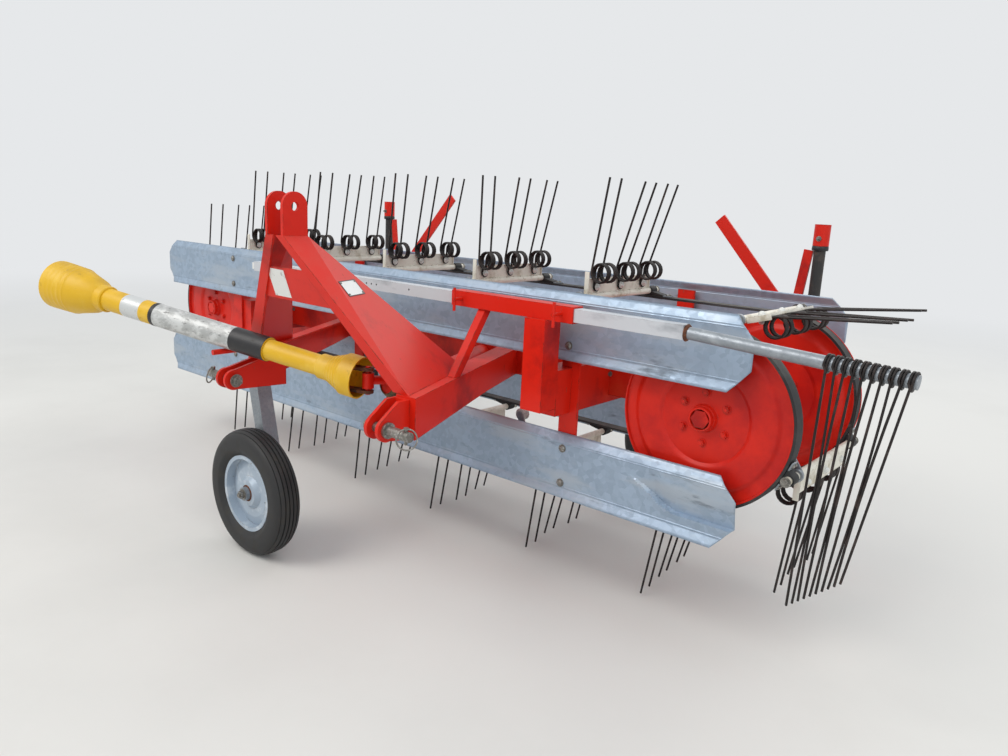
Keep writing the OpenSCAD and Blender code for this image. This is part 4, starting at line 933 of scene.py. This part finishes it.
def build_outer_shaft():
    base = shaft_frame(377)
    n = 944.9
    guard = bmesh.new()
    ribs = []
    for k in range(5):
        h = n - 110 + 20 * k
        ribs += [(81.5 + 0.9 * k, h), (83.5 + 0.6 * k, h + 3), (83.5 + 0.6 * k, h + 7), (82 + 0.9 * k, h + 10)]
    add_turned(guard, [(34.2, 0), (39, 0), (39, n - 245), (44, n - 244), (46.5, n - 240), (47, n - 212),
                       (60, n - 193), (77, n - 127), (80, n - 117), *ribs, (86, n - 6), (86, n), (82, n),
                       (74, n - 110), (54, n - 178), (24, n - 186), (24, 430), (34.2, 430)], base, 48)
    pieces = [finish_piece("outer_guard", guard, "shaft_outer", "guard", smooth=28)]
    # Columns: name, start and end along the shaft, material, radius over the guard's tube
    for name, a, b, finish, extra in (
            ("black_sleeve", 377.5, 513, "black", 1.2), ("worn_sleeve", 513, 843, "worn_sleeve", 0.5),
            ("black_ring", 843, 859, "black", 0.9), ("blank_foil", 905, 988, "foil", 0.5)):
        bm = bmesh.new()
        add_turned(bm, [(39.02, a - 377), (39 + extra, a - 376.5), (39 + extra, b - 377.5), (39.02, b - 377)],
                   base, 48)
        pieces.append(finish_piece(name, bm, "shaft_outer", finish))
    steel = bmesh.new()
    add_turned(steel, [(0, n - 190), (21, n - 190), (22, n - 188), (22, n - 120), (0, n - 120)], base, 32)
    yoke(steel, base @ at(0, 0, n - 122), 44, 29, 30)
    tilt = base @ at(0, 0, n - 84, -14)
    for axis in "XY":
        add_turned(steel, [(0, -27), (8, -27), (8, 27), (0, 27)], tilt @ spin(90, axis), 16)
    yoke(steel, tilt @ at(0, 0, 58, 180, "X") @ spin(90, "Z"), 56, 29, 28)
    add_turned(steel, [(17.5, 52), (22, 52), (24, 56), (24, 92), (26, 94), (26, 118), (24, 120), (24, 140),
                       (22, 144), (17.5, 144), (17, 143), (17, 53)], tilt, 32)
    pieces.append(finish_piece("outer_yoke", steel, "shaft_outer", "zinc", 0.8))
    for piece in pieces:
        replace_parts(piece, "shaft_outer_half", "outer_cone")


def build_inner_shaft():
    guard = bmesh.new()
    ridges = []
    for k in range(4):
        r = 57 - 5 * k
        ridges += [(r, 88 + 13 * k), (r + 0.8, 92 + 13 * k), (r - 2.4, 96 + 13 * k)]
    add_turned(guard, [(61, 26), (66, 26), (66, 76), *ridges, (40, 146), (40, 169), (33.4, 175), (33.4, 797),
                       (20, 797), (20, 70), (61, 70)], shaft_frame(0), 48)
    pieces = [finish_piece("inner_guard", guard, "shaft_inner", "guard", smooth=28)]
    steel = bmesh.new()
    flat = Matrix.Translation(JOINT) @ Matrix.Rotation(math.atan2(SHAFT_WAY.y, SHAFT_WAY.x), 4, "Z")
    outline = [(80, -17), (80, 17)] + arc(17.5, range(90, 271, 20))
    n = len(outline)
    for z in (-40, 30):
        points = [(x, y, h) for h in (z, z + 10) for x, y in outline]
        faces = [tuple(range(n - 1, -1, -1)), tuple(range(n, 2 * n))]
        add_faces(steel, points, faces + [(k, (k + 1) % n, n + (k + 1) % n, n + k) for k in range(n)], flat)
    pieces.append(finish_piece("inner_yoke", steel, "shaft_inner", "rust", 1.0))
    for piece in pieces:
        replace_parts(piece, "shaft_inner_half")


def build_gearbox_details():
    """The greasy guard round the gearbox's input, and the bolts of its covers."""
    guard = bmesh.new()
    mouth = GEARBOX + Vector((0, -112, 33))
    way = (mouth - GEARBOX - Vector((10, -65, 24))).normalized()
    add_turned(guard, [(46.3, -40), (52, -38), (54, -6), (47, 4), (44, 4), (46.3, -6)], towards(mouth, way), 40)
    finish_piece("input_guard", guard, "rake", "guard_dirty")
    # The box stands square to the slanting cross arm
    box = Matrix.Translation(GEARBOX) @ Matrix.Rotation(math.atan2(2466 - 2141, 247 + 580), 4, "Z")
    spots = [(box @ Vector((x, y, 70)), Z_AXIS) for x in (-50, 50) for y in (-62, 62)]
    spots += [(box @ Vector((-62, y, z)), box.to_3x3() @ -X_AXIS) for y in (-58, 58) for z in (-54, 54)]
    spots += [(box @ Vector((0, 0, 70)), Z_AXIS)]
    bolts("gearbox_bolts", spots, "rake", "bolt", 0.85)


# Wheels


def tyre_profile(rib_count, groove):
    """Closed section of a ribbed tyre: radius and offset along the axle, in millimetres."""
    mid, high, half = 181, 47, 50

    def crown(h):
        return mid + high * (1 - min(1, abs(h) / half) ** 2.7) ** (1 / 2.7)

    width = 74 / rib_count
    top = []
    for k in range(rib_count):
        centre = -37 + width * (k + 0.5)
        for dh, cut in ((-width / 2, groove), (1.3 - width / 2, groove), (2.2 - width / 2, 0), (0, 0),
                        (width / 2 - 2.2, 0), (width / 2 - 1.3, groove)):
            top.append((min(crown(centre + dh), 227.9) - cut, centre + dh))
    top.append((crown(37) - groove, 37))
    top[0] = (crown(-37) - 1, -37)
    top[-1] = (crown(37) - 1, 37)
    right = [(crown(h), h) for h in (40, 44, 47.5, 49.4)]
    right += [(181, 50), (170, 49.6), (162, 49.9), (158, 48.4), (150, 44), (143, 38.2), (138.5, 34), (133, 27.4),
              (130.2, 27.4)]
    return [(r, -h) for r, h in reversed(right)] + top + right


def build_wheels():
    s = bpy.context.scene.rake_wheels
    for key, (centre, body, fork) in WHEELS.items():
        axle = Matrix.Translation(centre) @ spin(90, "X")
        tyre = bmesh.new()
        add_turned(tyre, tyre_profile(s.rib_count, s.rib_depth * 1000), axle, 72)
        obj = finish_piece("ribbed_tyre_" + key, tyre, body, "tyre", smooth=50)
        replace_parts(obj, "tyre_" + key)
        hub = bmesh.new()
        # The wheel's outer side is +Z here, which is the rack's front
        add_turned(hub, [(12.4, 30.2), (24, 30.2), (27, 27), (30, 16), (44, 14.6), (46, 14.4), (46, 15.6),
                         (34, 18), (30, 30), (26, 31.5), (12.4, 31.5)], axle, 32)
        finish_piece("hub_weld_" + key, hub, body, "rust")
        stem = bmesh.new()
        add_turned(stem, [(0, 0), (5, 0), (4, 6), (3.4, 22), (2.6, 23), (2.6, 30), (0, 30)],
                   axle @ at(104, 0, 10, 35), 12)
        finish_piece("valve_" + key, stem, body, "rubber")
    centre, body, leg = WHEELS["front"]
    bolts("axle_nut_front", [(centre - 46.5 * Y_AXIS, -Y_AXIS)], leg, "bolt", 1.5, 0.006)
    for centre, body, fork in (WHEELS["left"], WHEELS["right"]):
        ends = [(centre + way * 70.3 * Y_AXIS, way * Y_AXIS) for way in (-1, 1)]
        domes("axle_washers_" + fork, ends, 0.02, 0.0034, fork, "bolt")


# Rear and labels


def web_point(x, z, proud):
    """A point a little in front of the mast's cross web, which stands behind the legs' sloping flanges."""
    share = (1152 - z) / 411
    left, right = 1998 - 347 * share, 2058 + 405 * share
    y = -696 + (146 - 22 * (x - left) / (right - left)) * share
    return x, y - proud, z


def build_blank_labels():
    """A blank tag on the cross web, a blank plate on the right leg and a blank strip on the upper sheet."""
    tag = bmesh.new()
    corners = [(1926, 964), (2012, 964), (2010, 1048), (1924, 1050)]
    points = [web_point(x, z, proud) for proud in (0.05, 0.65) for x, z in corners]
    sides = [(k, (k + 1) % 4, 4 + (k + 1) % 4, 4 + k) for k in range(4)]
    add_faces(tag, points, [(3, 2, 1, 0), (4, 5, 6, 7)] + sides, Matrix.Identity(4))
    finish_piece("blank_tag", tag, "rake", "blank")
    strip = bmesh.new()
    add_block(strip, (782, -0.5, 924), (872, 0.1, 954))
    finish_piece("blank_strip", strip, "rake", "blank")
    # The plate lies on the leg's twisted side, its long edge level
    level = Vector((-0.3848, 0.923, 0))
    normal = Vector((0.674, 0.281, 0.683)).normalized()
    slope = normal.cross(level)
    turn = Matrix((level, slope, normal)).transposed().to_4x4()
    frame_at = Matrix.Translation(Vector((2170.7, -502.2, 1009)) - level * 50 + normal * 0.1) @ turn
    plate, rim = bmesh.new(), bmesh.new()
    add_block(plate, (-44, -25, 0), (44, 25, 0.8), frame_at)
    for x0, y0, x1, y1 in ((-47, -28, 47, -25), (-47, 25, 47, 28), (-47, -25, -44, 25), (44, -25, 47, 25)):
        add_block(rim, (x0, y0, 0), (x1, y1, 1.1), frame_at)
    rivets = [(frame_at @ Vector((x, y, 0.8)), normal) for x in (-40, 40) for y in (-21, 21)]
    finish_piece("blank_plate", plate, "rake", "foil")
    finish_piece("blank_plate_rim", rim, "rake", "black")
    domes("plate_rivets", rivets, 0.0025, 0.0015, "rake", "bolt")


def build_rear_details():
    rings, spots = bmesh.new(), []
    for x in (450, 2960):
        add_turned(rings, [(22.4, 1150), (29, 1150), (31, 1153), (31, 1164), (29, 1167.5), (22.4, 1167.5)],
                   Matrix.Translation((x, RAIL_Y, 0)), 28)
        spots += [((x, RAIL_Y - 29.6, 1196), -Y_AXIS), ((x, RAIL_Y - 37.6, 900), -Y_AXIS)]
    finish_piece("mast_foot_rings", rings, "rake", "black")
    bolts("cap_bolts", spots, "rake", "bolt", 0.8, 0.008)


# Operators


def fade_floor(material, sky):
    """Far from the rake the floor shows the backdrop's colour, so that no horizon is seen."""
    tree = material.node_tree
    place_on_floor = add_node(tree, "ShaderNodeTexCoord").outputs["Object"]
    away = add_node(tree, "ShaderNodeVectorMath", {"operation": "LENGTH"}, {0: place_on_floor}).outputs["Value"]
    far = add_node(tree, "ShaderNodeMapRange", {"interpolation_type": "SMOOTHSTEP"}, {
        "Value": away, "From Min": 2.6, "From Max": 11}).outputs[0]
    rays = add_node(tree, "ShaderNodeLightPath")
    seen = add_node(tree, "ShaderNodeMath", {"operation": "MAXIMUM"}, {
        0: rays.outputs["Is Camera Ray"], 1: rays.outputs["Is Glossy Ray"]})
    share = add_node(tree, "ShaderNodeMath", {"operation": "MULTIPLY"}, {0: far, 1: seen.outputs[0]})
    glow = add_node(tree, "ShaderNodeEmission", None, {"Color": (*sky, 1), "Strength": 1.0})
    both = add_node(tree, "ShaderNodeMixShader", None, {
        0: share.outputs[0], 1: tree.nodes["Principled BSDF"].outputs[0], 2: glow.outputs[0]})
    tree.links.new(both.outputs[0], tree.nodes["Material Output"].inputs["Surface"])


class RAKE_OT_finishes(bpy.types.Operator):
    """Make the materials and give each solid its finish"""
    bl_idname = "rake.finishes"
    bl_label = "Finishes"

    def execute(self, context):
        make_materials()
        for finish, names in NODE_FINISH.items():
            for name in names:
                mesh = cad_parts[name].data
                mesh.materials.clear()
                mesh.materials.append(MATERIALS[finish])
        return {"FINISHED"}


class RAKE_OT_tine_bars(bpy.types.Operator):
    """Bars with spring tines, seats, levers and bolts"""
    bl_idname = "rake.tine_bars"
    bl_label = "Tine bars"

    def execute(self, context):
        for piece in (build_tine_wires(), build_bar_frames(), *build_bar_seats(), *build_bar_bolts()):
            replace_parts(piece, "tine_bars_top", "tine_bars_right_end", "tine_bars_bottom", "tine_bar_left_end")
        for piece in build_levers():
            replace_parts(piece, "follower_levers")
        return {"FINISHED"}


class RAKE_OT_deflector(bpy.types.Operator):
    """Coiled wires on the deflector's end tube"""
    bl_idname = "rake.deflector"
    bl_label = "Deflector wires"

    def execute(self, context):
        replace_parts(build_deflector_wires(), "deflector_tines")
        build_deflector_weld()
        return {"FINISHED"}


class RAKE_OT_sheets(bpy.types.Operator):
    """Folded galvanised sheets and their bolts"""
    bl_idname = "rake.sheets"
    bl_label = "Sheets"

    def execute(self, context):
        build_sheet("front_upper_sheet", "sheet_front_upper", 0, UPPER_SHEET_Z, 1)
        build_sheet("front_lower_sheet", "sheet_front_lower", 0, LOWER_SHEET_Z, 1, dent=True)
        build_sheet("rear_upper_sheet", "sheet_rear_upper", RACK_DEPTH, UPPER_SHEET_Z, -1)
        build_sheet("rear_lower_sheet", "sheet_rear_lower", RACK_DEPTH, LOWER_SHEET_Z, -1)
        build_sheet_bolts()
        return {"FINISHED"}


class RAKE_OT_fasteners(bpy.types.Operator):
    """Pressed sheaves, their collars and bolts, and the frame's bolts"""
    bl_idname = "rake.fasteners"
    bl_label = "Fasteners"

    def execute(self, context):
        build_sheaves()
        build_sheave_bolts()
        build_frame_bolts()
        return {"FINISHED"}


class RAKE_OT_hitch(bpy.types.Operator):
    """Lynch pins, rings and nuts of the lower hitch pins"""
    bl_idname = "rake.hitch"
    bl_label = "Hitch details"

    def execute(self, context):
        build_hitch_details()
        return {"FINISHED"}


class RAKE_OT_shaft(bpy.types.Operator):
    """Guards, sleeves and joints of the drive shaft, and the gearbox's bolts"""
    bl_idname = "rake.shaft"
    bl_label = "Drive shaft"

    def execute(self, context):
        build_outer_shaft()
        build_inner_shaft()
        build_gearbox_details()
        return {"FINISHED"}


class RAKE_OT_wheels(bpy.types.Operator):
    """Ribbed tyres, hubs, valves and nuts"""
    bl_idname = "rake.wheels"
    bl_label = "Wheels"

    def execute(self, context):
        build_wheels()
        return {"FINISHED"}


class RAKE_OT_labels(bpy.types.Operator):
    """Blank tag, plate and strip"""
    bl_idname = "rake.labels"
    bl_label = "Blank labels"

    def execute(self, context):
        build_blank_labels()
        return {"FINISHED"}


class RAKE_OT_rear(bpy.types.Operator):
    """Rings and bolts of the rear poles"""
    bl_idname = "rake.rear"
    bl_label = "Rear poles"

    def execute(self, context):
        build_rear_details()
        return {"FINISHED"}


class RAKE_OT_stage(bpy.types.Operator):
    """Plain floor, soft light and the camera"""
    bl_idname = "rake.stage"
    bl_label = "Stage"

    def execute(self, context):
        scene = context.scene
        s = scene.rake_stage
        mesh = bpy.data.meshes.new("floor")
        mesh.from_pydata([(-60, -60, 0), (60, -60, 0), (60, 60, 0), (-60, 60, 0)], [], [(0, 1, 2, 3)])
        floor = bpy.data.objects.new("floor", mesh)
        scene.collection.objects.link(floor)
        # Smooth sealed concrete, almost even, so that only the rake is looked at
        mesh.materials.append(finish_material("pale_floor", s.floor, [("#d3d1cc", 2600, 0.45, 0.7, 0.8)], 0.75))
        fade_floor(mesh.materials[0], s.sky)
        world = bpy.data.worlds.new("studio")
        world.use_nodes = True
        scene.world = world
        tree = world.node_tree
        tree.nodes.clear()
        rays = add_node(tree, "ShaderNodeLightPath")
        seen = add_node(tree, "ShaderNodeMath", {"operation": "MAXIMUM"}, {
        0: rays.outputs["Is Camera Ray"], 1: rays.outputs["Is Glossy Ray"]})
        seen = add_node(tree, "ShaderNodeMath", {"operation": "MAXIMUM"}, {
            0: seen.outputs[0], 1: rays.outputs["Is Transmission Ray"]})
        light = add_node(tree, "ShaderNodeBackground", None, {"Color": (0.9, 0.95, 1, 1), "Strength": 0.8})
        shown = add_node(tree, "ShaderNodeBackground", None, {"Color": (*s.sky, 1), "Strength": 1.0})
        both = add_node(tree, "ShaderNodeMixShader", None, {
            0: seen.outputs[0], 1: light.outputs[0], 2: shown.outputs[0]})
        add_node(tree, "ShaderNodeOutputWorld", None, {"Surface": both.outputs[0]})
        # Columns: name, place, size, watts, colour
        for name, spot, size, power, tint in (
                ("key", (-1.8, -5.4, 6.6), 5.0, 300, (1, 0.97, 0.93)),
                ("fill", (6.0, -2.6, 5.0), 5.0, 90, (0.94, 0.97, 1)),
                ("rear", (0.8, 6.2, 5.8), 5.0, 140, (1, 0.98, 0.95))):
            lamp = bpy.data.lights.new(name, "AREA")
            lamp.shape, lamp.size, lamp.energy, lamp.color = "DISK", size, power, tint
            obj = bpy.data.objects.new(name, lamp)
            obj.location = spot
            obj.rotation_euler = (Vector((0, 0, 0.6)) - Vector(spot)).to_track_quat("-Z", "Y").to_euler()
            scene.collection.objects.link(obj)
        lens = bpy.data.cameras.new("camera")
        lens.sensor_fit, lens.sensor_width, lens.lens = "HORIZONTAL", 36, s.lens
        lens.clip_end = 300
        camera = bpy.data.objects.new("camera", lens)
        # Rows: the camera's right, up and back
        turn = Matrix(((0.7583, 0.6503, 0.0464), (-0.1765, 0.1363, 0.9748),
                       (0.6276, -0.7474, 0.2181))).transposed().to_4x4()
        camera.matrix_world = Matrix.Translation((4.021 - ORIGIN.x / 1000, -2.013 - ORIGIN.y / 1000, 1.273)) @ turn
        scene.collection.objects.link(camera)
        scene.camera = camera
        scene.view_settings.view_transform = "Standard"
        return {"FINISHED"}


class RAKE_PT_panel(bpy.types.Panel):
    """Lists the rake's operators and settings"""
    bl_idname = "RAKE_PT_panel"
    bl_label = "Belt hay rake"
    bl_space_type = "VIEW_3D"
    bl_region_type = "UI"
    bl_category = "Hay rake"

    def draw(self, context):
        for made in OPERATORS:
            self.layout.operator(made.bl_idname)
        for group in SETTINGS:
            box = self.layout.box()
            settings = getattr(context.scene, group)
            for key in settings.bl_rna.properties.keys():
                if key not in ("rna_type", "name"):
                    box.prop(settings, key)


OPERATORS = [RAKE_OT_stage, RAKE_OT_finishes, RAKE_OT_tine_bars, RAKE_OT_deflector, RAKE_OT_sheets,
             RAKE_OT_fasteners, RAKE_OT_hitch, RAKE_OT_shaft, RAKE_OT_wheels, RAKE_OT_rear, RAKE_OT_labels]
SETTINGS = {"rake_finishes": RakeFinishes, "rake_tines": RakeTines, "rake_wheels": RakeWheels,
            "rake_fasteners": RakeFasteners, "rake_stage": RakeStage}


def register():
    for group in SETTINGS.values():
        bpy.utils.register_class(group)
    for name, group in SETTINGS.items():
        setattr(bpy.types.Scene, name, PointerProperty(type=group))
    for made in OPERATORS:
        bpy.utils.register_class(made)
    bpy.utils.register_class(RAKE_PT_panel)


def unregister():
    bpy.utils.unregister_class(RAKE_PT_panel)
    for made in reversed(OPERATORS):
        bpy.utils.unregister_class(made)
    for name in SETTINGS:
        delattr(bpy.types.Scene, name)
    for group in SETTINGS.values():
        bpy.utils.unregister_class(group)


def main():
    register()
    for made in OPERATORS:
        group, name = made.bl_idname.split(".")
        getattr(getattr(bpy.ops, group), name)()


if __name__ == "__main__":
    main()
